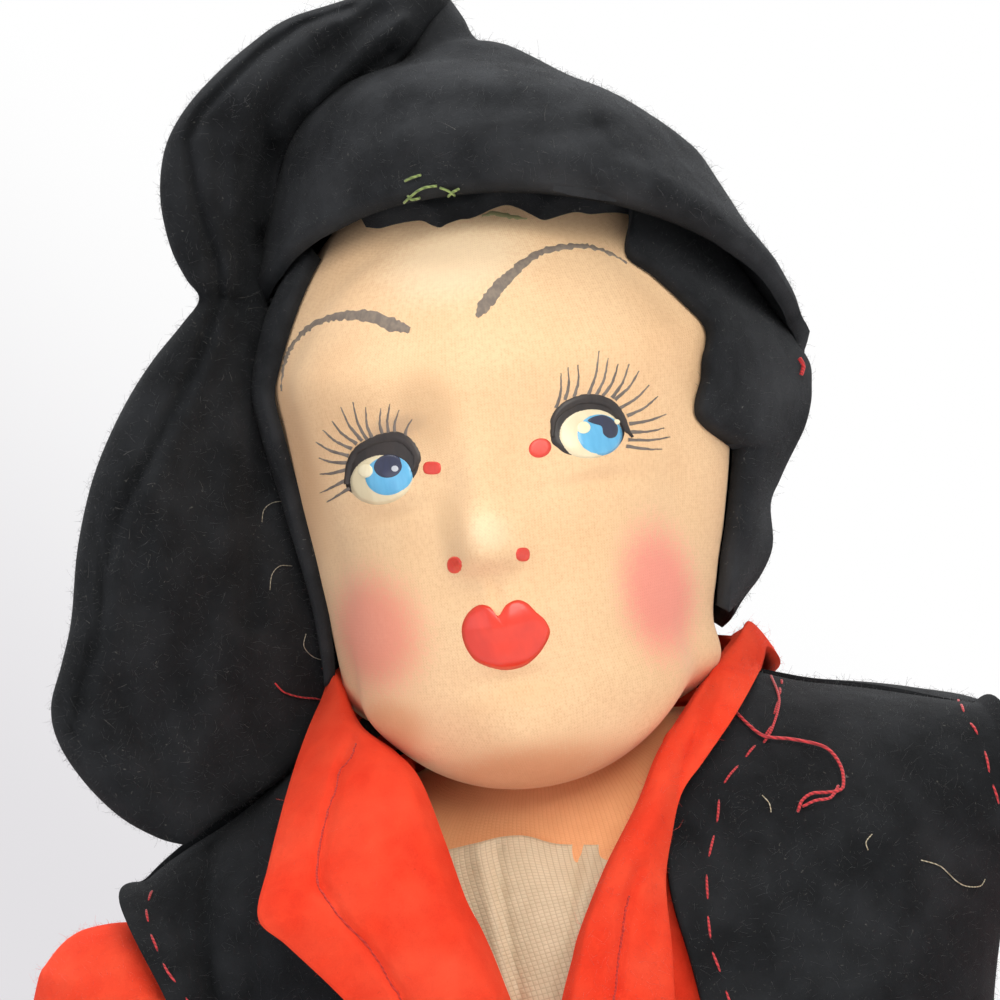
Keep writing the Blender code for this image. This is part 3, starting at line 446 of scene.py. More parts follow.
@dataclass(frozen=True)
class Paint:
    """Oil paint brushed on cloth: it fills the stitches and stands a little proud."""

    name: str
    colour: str
    second: str
    roughness: float = 0.45
    coat: float = 0.0
    streak: float = 1.2 * MM
    streak_share: float = 0.5

    def finish(self, tree: Tree) -> tuple[Socket, Socket]:
        """Streak the paint as a brush does."""
        streaks = cloud_at(tree, object_places(tree, (1.0, 1.0, 0.35)), self.streak, 3.0, 0.38, 0.66)
        share = add_node(tree, "Math MULTIPLY", streaks, self.streak_share)
        return add_node(tree, "Mix", {0: share, 6: self.colour, 7: self.second}, **TONES), streaks

    def material(self) -> Material:
        """Build the paint."""
        return finish_material(
            self.name, self.finish, (0.5, 0.04 * MM), Roughness=self.roughness, Coat_Weight=self.coat,
            Coat_Roughness=0.18
        )


@dataclass(frozen=True)
class Thread:
    """Twisted cotton thread: fine slanting plies, dull with a faint shine."""

    name: str
    colour: str
    shade: str

    def finish(self, tree: Tree) -> tuple[Socket, Socket]:
        """Twist the thread finely."""
        plies = {"Scale": 900.0, "Distortion": 1.0, "Vector": object_places(tree)}
        twist = add_node(tree, "TexWave", plies, output="Fac", bands_direction="DIAGONAL")
        return add_node(tree, "Mix", {0: twist, 6: self.shade, 7: self.colour}, **TONES), twist

    def material(self) -> Material:
        """Build the thread."""
        return finish_material(self.name, self.finish, (0.5, 0.03 * MM), Roughness=0.7, Sheen_Weight=0.2)


def link(name: str, mesh: bpy.types.Mesh, material: Material) -> Thing:
    """Make an object of a finished mesh with one material."""
    made = bpy.data.objects.new(name, mesh)
    bpy.context.scene.collection.objects.link(made)
    mesh.materials.clear()
    mesh.materials.append(material)
    mesh.shade_smooth()
    return made


def sheet_mesh(
    name: str, columns: int, rows: int, outer: Place, inner: Place | None = None, closed: bool = False
) -> bpy.types.Mesh:
    """Make a surface over (0..1, 0..1), or a sheet with thickness where inner is given.

    Args:
        name: The mesh's name.
        columns: Faces across.
        rows: Faces up.
        outer: Gives the front surface's place for a share across and a share up.
        inner: Gives the back surface's place.
        closed: Whether the last column meets the first.

    Returns:
        The mesh, with cloth coordinates in millimetres.
    """
    shape = bmesh.new()
    uv_layer = shape.loops.layers.uv.new(UV_NAME)
    layers = [outer] + ([inner] if inner else [])
    grids = []
    for layer in layers:
        grid = [
            [shape.verts.new(layer(i / columns, j / rows)) for j in range(rows + 1)]
            for i in range(columns + (0 if closed else 1))
        ]
        grids.append(grid)
    front = grids[0]
    middle_row = rows // 2
    middle_column = len(front) // 2
    width = path_length([column[middle_row].co for column in front]) / MM
    height = path_length([vert.co for vert in front[middle_column]]) / MM
    for side, grid in enumerate(grids):
        for i in range(columns):
            after = (i + 1) % len(grid)
            for j in range(rows):
                corners = [grid[i][j], grid[after][j], grid[after][j + 1], grid[i][j + 1]]
                shares = [(i, j), (i + 1, j), (i + 1, j + 1), (i, j + 1)]
                if side:
                    corners.reverse()
                    shares.reverse()
                face = new_face(shape, corners)
                if face:
                    for loop, (across, up) in zip(face.loops, shares):
                        loop[uv_layer].uv = (width * across / columns, height * up / rows)
    if inner:
        back = grids[1]
        rim = [(i, 0) for i in range(columns)]
        for i, _ in rim:
            after = (i + 1) % len(front)
            new_face(shape, [front[i][0], back[i][0], back[after][0], front[after][0]])
            new_face(shape, [front[i][rows], front[after][rows], back[after][rows], back[i][rows]])
        if not closed:
            for j in range(rows):
                new_face(shape, [front[0][j], front[0][j + 1], back[0][j + 1], back[0][j]])
                new_face(shape, [front[-1][j], back[-1][j], back[-1][j + 1], front[-1][j + 1]])
    bmesh.ops.remove_doubles(shape, verts=shape.verts, dist=0.000002)
    bmesh.ops.recalc_face_normals(shape, faces=shape.faces)
    mesh = bpy.data.meshes.new(name)
    shape.to_mesh(mesh)
    shape.free()
    return mesh


def new_face(shape: bmesh.types.BMesh, corners: list) -> bmesh.types.BMFace | None:
    """Make a face unless its corners coincide."""
    unique = list(dict.fromkeys(corners))
    return shape.faces.new(unique) if len(unique) > 2 else None


def path_length(points: Sequence[Vector]) -> float:
    """Add up the lengths between points."""
    return sum((b - a).length for a, b in zip(points, points[1:]))


def thickened(surface: Place, depth: float, inside: Vector | None = None) -> Place:
    """Give the surface that lies a depth behind another, along its own normals.

    Args:
        surface: The front surface.
        depth: How far behind it, in metres; below zero it lies in front.
        inside: A point that is behind the surface; without it the way is the grid's own.

    Returns:
        The surface behind.
    """
    step = 0.004

    def behind(across: float, up: float) -> Vector:
        here = surface(across, up)
        low, high = max(across - step, 0.0), min(across + step, 1.0)
        below, above = max(up - step, 0.0), min(up + step, 1.0)
        first = surface(high, up) - surface(low, up)
        second = surface(across, above) - surface(across, below)
        normal = first.cross(second)
        if normal.length < 1e-12:
            return here
        normal.normalize()
        if inside is not None and normal.dot(here - inside) < 0:
            normal.negate()
        return here - normal * depth

    return behind


def add_tube(shape: bmesh.types.BMesh, points: Sequence[Vector], radii: Sequence[float], sides: int) -> None:
    """Add a tube with closed ends to a working shape."""
    rings = []
    previous = None
    for index, point in enumerate(points):
        ahead = points[min(index + 1, len(points) - 1)]
        behind = points[max(index - 1, 0)]
        course = (ahead - behind).normalized()
        sideways = previous or course.orthogonal()
        sideways = (sideways - course * sideways.dot(course)).normalized()
        previous = sideways
        other = course.cross(sideways)
        ring = []
        for k in range(sides):
            angle = math.tau * k / sides
            offset = sideways * math.cos(angle) + other * math.sin(angle)
            ring.append(shape.verts.new(point + offset * radii[index]))
        rings.append(ring)
    for first, second in zip(rings, rings[1:]):
        for k in range(sides):
            after = (k + 1) % sides
            shape.faces.new((first[k], first[after], second[after], second[k]))
    shape.faces.new(list(reversed(rings[0])))
    shape.faces.new(rings[-1])


@dataclass(frozen=True)
class Fuzz:
    """Loose wool fibres that stand off felt and catch the light along its outline."""

    seed: int
    per_square_cm: float
    length: float = 0.9 * MM
    radius: float = 0.017 * MM
    lift: float = 0.55
    segments: int = 2
    # Share of the piece's faces, from the first, that fibres grow on: a sheet's front is its first half
    front_share: float = 0.5

    def build(self, name: str, base: Thing, material: Material) -> Thing:
        """Scatter fibres over a piece.

        Args:
            name: The new piece's name.
            base: The piece that the fibres grow on.
            material: Their material.

        Returns:
            One mesh with all the fibres.
        """
        dice = random.Random(self.seed)
        points: list[Vector] = []
        faces: list[tuple[int, ...]] = []
        source = base.data
        source.calc_loop_triangles()
        vertices = source.vertices
        last = len(source.polygons) * self.front_share
        for triangle in source.loop_triangles:
            if triangle.polygon_index > last:
                continue
            expected = triangle.area * 1e4 * self.per_square_cm
            count = int(expected) + (1 if dice.random() < expected - int(expected) else 0)
            corners = [vertices[k].co for k in triangle.vertices]
            for _ in range(count):
                first, second = sorted((dice.random(), dice.random()))
                root = (corners[0] * first + corners[1] * (second - first) + corners[2] * (1 - second))
                self.add_fibre(points, faces, dice, root, triangle.normal)
        mesh = bpy.data.meshes.new(name)
        mesh.from_pydata(points, [], faces)
        return link(name, mesh, material)

    def add_fibre(
        self, points: list[Vector], faces: list[tuple[int, ...]], dice: random.Random, root: Vector,
        normal: Vector
    ) -> None:
        """Add one bent, tapering fibre with three sides."""
        along = Vector((dice.gauss(0, 1), dice.gauss(0, 1), dice.gauss(0, 1)))
        along = (along - normal * along.dot(normal)).normalized()
        bend = Vector((dice.gauss(0, 1), dice.gauss(0, 1), dice.gauss(0, 1))) * 0.35
        length = self.length * (0.4 + 1.1 * dice.random() ** 2)
        lift = self.lift * (0.3 + dice.random())
        start = len(points)
        side = normal.cross(along)
        for k in range(self.segments + 1):
            share = k / self.segments
            rise = normal * (lift * math.sin(share * math.pi * 0.62))
            middle = root + (along * share + rise + bend * share * share) * length
            radius = self.radius * (1 - 0.6 * share)
            points += (middle + normal * radius, middle + side * radius, middle - side * radius)
        for ring in range(start, start + 3 * self.segments, 3):
            for k in range(3):
                after = (k + 1) % 3
                faces.append((ring + k, ring + after, ring + 3 + after, ring + 3 + k))


def stitches(
    name: str, path: Sequence[Vector], outward: Callable[[Vector], Vector], material: Material,
    stitch: float = 2.7 * MM, gap: float = 1.9 * MM, radius: float = 0.17 * MM, seed: int = 1
) -> Thing:
    """Make hand running stitches along a path: short threads that dive into the cloth.

    Args:
        name: The piece's name.
        path: Places along the cloth's surface, close together.
        outward: Gives the cloth's outward direction at a place.
        material: The thread.
        stitch: Length that shows.
        gap: Length between stitches.
        radius: The thread's radius.
        seed: Seed of the uneven hand.

    Returns:
        One mesh with all the stitches.
    """
    dice = random.Random(seed)
    lengths = [0.0]
    for first, second in zip(path, path[1:]):
        lengths.append(lengths[-1] + (second - first).length)

    def at(distance: float) -> Vector:
        for index in range(len(lengths) - 1):
            if distance <= lengths[index + 1]:
                span = max(lengths[index + 1] - lengths[index], 1e-9)
                return path[index].lerp(path[index + 1], (distance - lengths[index]) / span)
        return path[-1]

    shape = bmesh.new()
    distance = gap / 2
    while distance + stitch < lengths[-1]:
        length = stitch * dice.uniform(0.75, 1.2)
        wobble = dice.uniform(-0.25, 0.25) * MM
        steps = 6
        points = []
        for k in range(steps + 1):
            share = k / steps
            place = at(distance + length * share)
            out = outward(place)
            side = (at(distance + length) - at(distance)).cross(out).normalized()
            rise = radius * (1.5 * math.sin(math.pi * share) - 0.7)
            points.append(place + out * rise + side * wobble * (share - 0.5))
        radii = [radius * (0.72 + 0.28 * math.sin(math.pi * k / steps)) for k in range(steps + 1)]
        add_tube(shape, points, radii, 6)
        distance += length + gap * dice.uniform(0.7, 1.25)
    mesh = bpy.data.meshes.new(name)
    shape.to_mesh(mesh)
    shape.free()
    return link(name, mesh, material)


def surface_tree(*pieces: Thing) -> BVHTree:
    """Make a search tree over the surfaces of some pieces."""
    vertices: list[Vector] = []
    polygons: list[list[int]] = []
    for piece in pieces:
        start = len(vertices)
        vertices.extend(piece.matrix_world @ vert.co for vert in piece.data.vertices)
        polygons.extend([start + k for k in face.vertices] for face in piece.data.polygons)
    return BVHTree.FromPolygons(vertices, polygons)


@dataclass(frozen=True)
class Palette:
    """The colours of one face's features."""

    iris: str
    iris_shade: str
    pupil: str
    brow: str
    lip: str
    lip_shade: str


@dataclass
class HeadMould:
    """The moulded head: an egg with swellings and hollows, seen from its own centre."""

    half_width: float = 28.2 * MM
    depth: float = 30.0 * MM
    crown: float = 38.0 * MM
    chin_drop: float = 37.3 * MM
    taper_share: float = 0.10
    jaw_square: float = 2.7
    # How much each cheek is drawn in, at each 6 mm up from 36 mm below the middle
    right_cheek: tuple[float, ...] = (1.0, 1.0, 1.0, 0.87, 0.815, 0.81, 0.832, 0.87, 0.925, 1.0)
    left_cheek: tuple[float, ...] = (0.95, 0.97, 0.95, 0.79, 0.77, 0.80, 0.84, 0.88, 0.93, 1.0)
    skull_half_width: float = 30.0 * MM
    skull_front: float = 20.0 * MM
    skull_back: float = 31.0 * MM
    skull_crown: float = 41.0 * MM
    skull_base: float = 27.5 * MM
    cloth: float = 2.5 * MM
    hem: float = 1.5 * MM
    # Each swelling in millimetres: out, half spread across, half spread up, across, up
    swellings: tuple[tuple[float, float, float, float, float], ...] = (
        (4.3, 3.5, 3.3, 0.0, -4.6), (1.0, 2.2, 1.8, 2.6, -6.2), (1.9, 2.8, 7.0, 0.0, 1.6),
        (1.9, 8.5, 8.0, 15.0, -13.5), (1.7, 7.0, 5.0, 0.0, -27.0), (1.3, 4.6, 2.1, 0.0, -14.2),
        (1.1, 3.9, 2.0, 0.0, -18.0), (-0.8, 4.5, 1.3, 0.0, -21.6), (-2.2, 7.2, 4.2, 12.8, 6.2),
        (1.9, 4.0, 3.1, 12.8, 5.2), (-0.6, 6.0, 1.1, 13.2, 0.6), (1.0, 9.5, 4.0, 12.0, 15.5),
        (-0.35, 0.7, 2.4, 0.0, -10.6), (0.30, 0.8, 2.2, 1.3, -10.4)
    )

    def reach_of(self, way: Vector, wide: float, deep: float, high: float) -> float:
        """Give how far an egg with these half sizes reaches in a direction, its jaw squarer."""
        level = (way.x / wide) ** 2 + (way.y / deep) ** 2
        if way.z > 0:
            return 1.0 / math.sqrt(level + (way.z / high) ** 2)
        power = self.jaw_square
        return (level ** (power / 2) + (-way.z / high) ** power) ** (-1 / power)

    def cheek_share(self, across: float, height: float) -> float:
        """Give how far one of the head's sides is drawn in at a height, as a share."""
        place = min(max((height / MM + 36) / 6, 0.0), len(self.left_cheek) - 1.0)
        share = smooth_step(-6 * MM, 6 * MM, across)
        return spline(self.right_cheek, place) * (1 - share) + spline(self.left_cheek, place) * share

    def place(self, way: Vector, gap: float = 0.0) -> Vector:
        """Give the place on the face in a direction, or a gap above it."""
        here = way * (self.reach(way) + gap)
        here.x *= self.cheek_share(here.x, here.z)
        return here

    def core_place(self, way: Vector) -> Vector:
        """Give the place on the stuffed head in a direction."""
        here = way * self.core_reach(way)
        here.x *= self.cheek_share(here.x, here.z)
        return here

    def held_off(self, here: Vector, gap: float) -> Vector:
        """Move a place out, where it lies less than a gap above the face."""
        drawn = self.cheek_share(here.x, here.z)
        full = Vector((here.x / drawn, here.y, here.z))
        way = full.normalized()
        return here.copy() if full.length > self.reach(way) + gap else self.place(way, gap)

    def face_share(self, way: Vector) -> float:
        """Say how much of a direction belongs to the face."""
        return smooth_step(0.12, 0.45, -way.y)

    def core_reach(self, way: Vector) -> float:
        """Give the reach of the stuffed head under the mask."""
        deep = self.skull_front if way.y < 0 else self.skull_back
        high = self.skull_crown if way.z > 0 else self.skull_base
        skull = self.reach_of(way, self.skull_half_width, deep, high)
        egg = self.egg_reach(way) - self.cloth
        return skull + self.face_share(way) * soft_max(0.0, egg - skull, 1.0 * MM)

    def egg_reach(self, way: Vector) -> float:
        """Give the reach of the face's plain egg."""
        high = self.crown if way.z > 0 else self.chin_drop
        wide = self.half_width * (1 + self.taper_share * way.z)
        return self.reach_of(way, wide, self.depth, high)

    def reach(self, way: Vector) -> float:
        """Give the reach of the mask's surface, features included."""
        core = self.core_reach(way)
        share = self.face_share(way)
        bare = core + self.hem
        plain = soft_max(bare, core + share * (self.egg_reach(way) - core), 1.6 * MM)
        up = plain * way.z / MM
        across = plain * way.x / MM * self.cheek_share(plain * way.x, up * MM)
        out = 0.0
        for height, wide, tall, place, rise in self.swellings:
            for side in (-1, 1) if place else (1,):
                fall = ((across - side * place) / wide) ** 2 + ((up - rise) / tall) ** 2
                out += height * math.exp(-fall)
        return soft_max(bare, plain + share * out * MM, 1.2 * MM) - 0.5 * MM


def soft_max(first: float, second: float, blend: float) -> float:
    """Give the larger of two lengths, rounded where they cross."""
    return (first + second + math.sqrt((first - second) ** 2 + blend * blend)) / 2


def direction(longitude: float, latitude: float) -> Vector:
    """Turn angles from the front and up into a direction."""
    level = math.cos(latitude)
    return Vector((level * math.sin(longitude), -level * math.cos(longitude), math.sin(latitude)))


MOULD = HeadMould()
HEAD_CENTRE = Vector((0.0, -6.0 * MM, 26.0 * MM))
NECK_PIVOT = Vector((0.0, 3.0 * MM, 86.0 * MM))
WAIST_HEIGHT = 178.0 * MM
UPPER_LEAN = Matrix.Rotation(math.radians(6.5), 4, "Y") @ Matrix.Rotation(math.radians(-8.0), 4, "Z")
UPPER_BODY = Matrix.Translation((0, 0, WAIST_HEIGHT))
LOWER_BODY = UPPER_BODY @ Matrix.Rotation(math.pi, 4, "Y")
UPPER_HEAD = UPPER_BODY @ Matrix.Translation(NECK_PIVOT) @ UPPER_LEAN @ Matrix.Translation(HEAD_CENTRE)
LOWER_HEAD = LOWER_BODY @ Matrix.Translation(NECK_PIVOT) @ Matrix.Translation(HEAD_CENTRE)


class FaceSurface:
    """The mask in its own space, for laying painted features where the photograph has them."""

    def __init__(self, columns: int = 130, rows: int = 150) -> None:
        """Build the mask's search tree.

        Args:
            columns: Faces across.
            rows: Faces up.
        """
        self.columns = columns
        self.rows = rows
        self.to_head = UPPER_HEAD.inverted()
        mesh = sheet_mesh("mask_search", columns, rows, self.place)
        self.tree = BVHTree.FromPolygons(
            [vert.co for vert in mesh.vertices], [list(face.vertices) for face in mesh.polygons]
        )
        bpy.data.meshes.remove(mesh)

    @staticmethod
    @lru_cache(maxsize=None)
    def place(across: float, up: float) -> Vector:
        """Give the mask's surface over its own shares."""
        longitude = math.radians(86) * (2 * across - 1)
        latitude = math.radians(-80) + up * math.radians(156)
        way = direction(longitude, latitude)
        return MOULD.place(way)

    def trace(self, px: float, py: float, lift: float = 0.0) -> Vector:
        """Give the place on the mask that a pixel shows, in the head's own space.

        Args:
            px: Pixel across.
            py: Pixel down.
            lift: How far above the surface, in metres.

        Returns:
            The place; the nearest one where the ray misses.
        """
        start = self.to_head @ VIEW.eye
        course = (self.to_head.to_3x3() @ VIEW.ray(px, py)).normalized()
        hit, normal, _, _ = self.tree.ray_cast(start, course)
        if hit is None:
            middle = start + course * (-start.dot(course))
            hit, normal, _, _ = self.tree.find_nearest(middle)
        if normal.dot(course) > 0:
            normal = -normal
        return hit + normal * lift


class FacePainter:
    """Lays oil paint on the mask: filled patches and brush strokes that follow its surface."""

    def __init__(self, surface: FaceSurface, prefix: str, body: Body, to_world: Matrix, mirrored: bool) -> None:
        """Keep where the face is.

        Args:
            surface: The mask to paint on.
            prefix: Start of every piece's name.
            body: The body that the head rides on.
            to_world: Turns the head's own places into the doll's.
            mirrored: Whether left and right change places.
        """
        self.surface = surface
        self.prefix = prefix
        self.body = body
        flip = Matrix.Diagonal((-1.0, 1.0, 1.0, 1.0)) if mirrored else Matrix()
        self.to_world = to_world @ flip
        self.mirrored = mirrored

    def finish(self, name: str, shape: bmesh.types.BMesh, material: Material) -> None:
        """Turn a working shape in the head's space into a piece that rides on the head."""
        bmesh.ops.transform(shape, matrix=self.to_world, verts=shape.verts)
        bmesh.ops.recalc_face_normals(shape, faces=shape.faces)
        mesh = bpy.data.meshes.new(name)
        shape.to_mesh(mesh)
        shape.free()
        piece = link(f"{self.prefix}_{name}", mesh, material)
        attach(piece, self.body.value)

    def patch(
        self, name: str, outline: Sequence[Pixel], lift: float, material: Material,
        crown: float = 0.0, rings: int = 6, steps: int = 48
    ) -> None:
        """Paint a filled patch.

        Args:
            name: The piece's name.
            outline: Pixels round its edge.
            lift: How far it stands above the cloth, in metres.
            material: The paint.
            crown: How much more it stands up in its middle.
            rings: Rings of faces from edge to middle.
            steps: Points round the edge.
        """
        closed = [*outline, outline[0]]
        edge = [spline_closed(outline, k / steps) for k in range(steps)]
        middle = (
            sum(p[0] for p in closed[:-1]) / len(outline), sum(p[1] for p in closed[:-1]) / len(outline)
        )
        shape = bmesh.new()
        loops = [[shape.verts.new(self.surface.trace(*p, -0.05 * MM)) for p in edge]]
        for ring in range(rings):
            share = 1 - ring / rings
            rise = lift * smooth_step(0.0, 0.12, 1.02 - share) + crown * (1 - share * share)
            row = []
            for p in edge:
                px = middle[0] + (p[0] - middle[0]) * share
                py = middle[1] + (p[1] - middle[1]) * share
                row.append(shape.verts.new(self.surface.trace(px, py, rise)))
            loops.append(row)
        centre = shape.verts.new(self.surface.trace(*middle, lift + crown))
        for first, second in zip(loops, loops[1:]):
            for k in range(steps):
                after = (k + 1) % steps
                shape.faces.new((first[k], first[after], second[after], second[k]))
        for k in range(steps):
            shape.faces.new((loops[-1][k], loops[-1][(k + 1) % steps], centre))
        self.finish(name, shape, material)

    def strokes(
        self, name: str, lines: Sequence[tuple[Sequence[Pixel], Sequence[float]]], lift: float,
        material: Material, raggedness: float = 0.0, seed: int = 3
    ) -> None:
        """Paint brush strokes.

        Args:
            name: The piece's name.
            lines: For each stroke, the pixels along it and its widths in pixels.
            lift: How far the paint stands above the cloth.
            material: The paint.
            raggedness: How much the edges wander, in pixels.
            seed: Seed of the wandering.
        """
        dice = random.Random(seed)
        shape = bmesh.new()
        for points, widths in lines:
            length = sum(math.dist(a, b) for a, b in zip(points, points[1:]))
            steps = max(6, int(length / 2.6))
            grid = []
            for k in range(steps + 1):
                share = k / steps
                px, py = spline_row(points, share)
                ahead = spline_row(points, min(share + 0.02, 1.0))
                behind = spline_row(points, max(share - 0.02, 0.0))
                course = Vector((ahead[0] - behind[0], ahead[1] - behind[1])).normalized()
                half = max(spline(widths, share * (len(widths) - 1)), 0.4) / 2
                left = half + dice.uniform(-raggedness, raggedness)
                right = half + dice.uniform(-raggedness, raggedness)
                row = []
                for offset, rise in ((-left, -0.05 * MM), (-left * 0.55, lift), (0.0, lift * 1.3), (right * 0.55, lift), (right, -0.05 * MM)):
                    place = self.surface.trace(px - course.y * offset, py + course.x * offset, rise)
                    row.append(shape.verts.new(place))
                grid.append(row)
            for first, second in zip(grid, grid[1:]):
                for k in range(4):
                    shape.faces.new((first[k], first[k + 1], second[k + 1], second[k]))
        self.finish(name, shape, material)


def spline_closed(points: Sequence[Pixel], share: float) -> Pixel:
    """Read a smooth closed curve through points at a share of its round."""
    count = len(points)
    place = share * count
    index = int(place) % count
    part = place - int(place)
    near = [points[(index + k) % count] for k in (-1, 0, 1, 2)]
    values = []
    for axis in (0, 1):
        column = [point[axis] for point in near]
        values.append(spline(column, 1 + part))
    return (values[0], values[1])


def oval(centre: Pixel, wide: float, tall: float, turn: float = 0.0, square: float = 1.0) -> list[Pixel]:
    """Give pixels round an oval.

    Args:
        centre: Its middle.
        wide: Its full width in pixels.
        tall: Its full height in pixels.
        turn: Its turn in degrees, anticlockwise as seen.
        square: Below 1 it gets squarer corners.

    Returns:
        Sixteen pixels round it.
    """
    angle = math.radians(turn)
    points = []
    for k in range(16):
        a = math.tau * k / 16
        x = math.copysign(abs(math.cos(a)) ** square, math.cos(a)) * wide / 2
        y = math.copysign(abs(math.sin(a)) ** square, math.sin(a)) * tall / 2
        points.append(
            (
                centre[0] + x * math.cos(angle) + y * math.sin(angle),
                centre[1] - x * math.sin(angle) + y * math.cos(angle)
            )
        )
    return points


@dataclass
class Face:
    """One moulded face: its cloth and everything painted on it."""

    prefix: str
    body: Body
    to_world: Matrix
    mirrored: bool
    palette: Palette
    lid_colour: str = "241E1C"
    sclera_colour: str = "F3E3BE"
    dot_colour: str = "E5402F"
    knit_light: str = "F9D3A6"
    knit_dark: str = "EEC192"
    # Painted shade in the knit's stitch grooves
    knit_groove_shade: str = "C98F5E"

    def build(self, surface: FaceSurface) -> None:
        """Build the cloth, then the eyes, brows, dots and mouth."""
        painter = FacePainter(surface, self.prefix, self.body, self.to_world, self.mirrored)
        self.build_mask(surface, painter)
        self.build_eyes(painter)
        self.build_brows(painter)
        self.build_dots(painter)
        self.build_mouth(painter)
        LOG.info("%s face: mask, eyes, brows, dots and mouth", self.prefix)

    def world(self, surface: FaceSurface, painter: FacePainter, px: float, py: float) -> Vector:
        """Give the doll's place that a pixel shows on this face."""
        return painter.to_world @ surface.trace(px, py)

    def build_mask(self, surface: FaceSurface, painter: FacePainter) -> None:
        """Build the stretched cloth over the mould, with its rouge, painted shade and painted highlights."""
        left = self.world(surface, painter, 372, 632)
        right = self.world(surface, painter, 660, 592)
        nose = self.world(surface, painter, 489, 532)
        left_socket_shade = self.world(surface, painter, 396, 428)
        right_socket_shade = self.world(surface, painter, 572, 398)
        left_under_eye_shade = self.world(surface, painter, 385, 516)
        right_under_eye_shade = self.world(surface, painter, 596, 474)
        chin = self.world(surface, painter, 506, 700)
        under_chin_shade = self.world(surface, painter, 510, 780)
        inner_brow_shade = self.world(surface, painter, 426, 408)
        nose_side_shade = self.world(surface, painter, 452, 530)
        left_temple_shade = self.world(surface, painter, 294, 452)
        left_jaw_shade = self.world(surface, painter, 388, 728)
        forehead_highlight = self.world(surface, painter, 455, 262)
        # Only the two cheek rounds are the doll's rouge. The rest is painted light: highlights on the nose and the
        # forehead, and painted shade in the eye sockets, under the eyes, at the inner brow, beside the nose, under the
        # chin, at the left temple and the left jaw. The chin round is a faint darker tan band.
        rouge_and_painted_light = (
            RougeAndPaintedLight(left, 9.6 * MM, 10.4 * MM, 0.72, "F58A7A"),
            RougeAndPaintedLight(right, 7.6 * MM, 12.0 * MM, 0.80, "FA8F84"),
            RougeAndPaintedLight(nose, 3.6 * MM, 3.4 * MM, 0.28, "FBE6C6"),
            RougeAndPaintedLight(left_socket_shade, 5.4 * MM, 2.2 * MM, 0.50, "B3937B"),
            RougeAndPaintedLight(right_socket_shade, 5.4 * MM, 2.0 * MM, 0.16, "D0A888"),
            RougeAndPaintedLight(left_under_eye_shade, 5.0 * MM, 1.2 * MM, 0.25, "D9AC84"),
            RougeAndPaintedLight(right_under_eye_shade, 5.2 * MM, 1.2 * MM, 0.22, "D9AC84"),
            RougeAndPaintedLight(chin, 9.0 * MM, 2.0 * MM, 0.22, "EDBB8A"),
            RougeAndPaintedLight(inner_brow_shade, 5.0 * MM, 7.0 * MM, 0.42, "C9A27A"),
            RougeAndPaintedLight(nose_side_shade, 2.8 * MM, 6.0 * MM, 0.40, "CDA77E"),
            RougeAndPaintedLight(under_chin_shade, 18.0 * MM, 5.6 * MM, 0.62, "D98858"),
            RougeAndPaintedLight(left_temple_shade, 4.6 * MM, 17.0 * MM, 0.45, "C08C60"),
            RougeAndPaintedLight(left_jaw_shade, 7.0 * MM, 5.0 * MM, 0.55, "D38C5C"),
            RougeAndPaintedLight(forehead_highlight, 13.0 * MM, 7.0 * MM, 0.50, "FFEBC8")
        )
        cloth = KnitCloth(
            f"{self.prefix}_stockinet", self.knit_light, self.knit_dark, self.knit_groove_shade, rouge_and_painted_light=rouge_and_painted_light
        )
        matrix = painter.to_world

        def outer(across: float, up: float) -> Vector:
            return matrix @ surface.place(across, up)

        def inner(across: float, up: float) -> Vector:
            return matrix @ (surface.place(across, up) * 0.955)

        mesh = sheet_mesh(f"{self.prefix}_face_cloth", 170, 190, outer, inner)
        piece = link(mesh.name, mesh, cloth.material())
        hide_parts(f"{self.prefix}_face_mask")
        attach(piece, self.body.value)

    def build_eyes(self, painter: FacePainter) -> None:
        """Paint both eyes from the white up to the lashes."""
        sclera = Paint(f"{self.prefix}_eye_white_paint", self.sclera_colour, "E2CDA2", 0.35, 0.35, streak_share=0.35).material()
        iris = Paint(f"{self.prefix}_iris_paint", self.palette.iris, self.palette.iris_shade, 0.3, 0.5).material()
        pupil = Paint(f"{self.prefix}_pupil_paint", self.palette.pupil, "1A1D26", 0.3, 0.5).material()
        lid = Paint(f"{self.prefix}_lid_paint", self.lid_colour, "3E332D", 0.5, 0.1).material()
        lash = Paint(f"{self.prefix}_lash_paint", "6E655E", "968A80", 0.7).material()
        glint = Paint(f"{self.prefix}_glint_paint", "FFF2CF", "F2E0B4", 0.3, 0.4).material()
        pale = Paint(f"{self.prefix}_pale_glint_paint", "C9CCD4", "AEB6C4", 0.3, 0.4).material()
        painter.patch("left_eye_lid", [(346, 486), (348, 468), (354, 452), (371, 440), (397, 433), (412, 444), (419, 459), (416, 474), (403, 489), (386, 499), (364, 498), (352, 493)], 0.06 * MM, lid)
        painter.patch("left_eye_white", oval((381, 479), 65, 51, 12), 0.10 * MM, sclera, 0.10 * MM)
        painter.patch("left_iris", oval((388, 476), 50, 43, 8), 0.19 * MM, iris, 0.06 * MM)
        painter.patch("left_pupil", oval((389, 467), 32, 26, 5), 0.25 * MM, pupil, 0.03 * MM)
        painter.patch("left_glint", oval((367, 471), 16, 15), 0.30 * MM, glint, 0.04 * MM)
        painter.patch("left_pale_glint", oval((396, 469), 8, 7), 0.30 * MM, pale, 0.02 * MM)
        painter.strokes(
            "left_upper_lid",
            [([(347, 484), (350, 464), (358, 450), (377, 440), (397, 437), (411, 446), (417, 459), (413, 471)], (5, 7, 8, 10, 11, 10, 8, 3))],
            0.28 * MM,
            lid,
            0.5,
        )
        painter.patch("right_eye_lid", [(551, 440), (554, 418), (572, 400), (592, 396), (611, 402), (623, 416), (625, 430), (620, 444), (605, 453), (586, 457), (567, 454), (558, 448)], 0.06 * MM, lid)
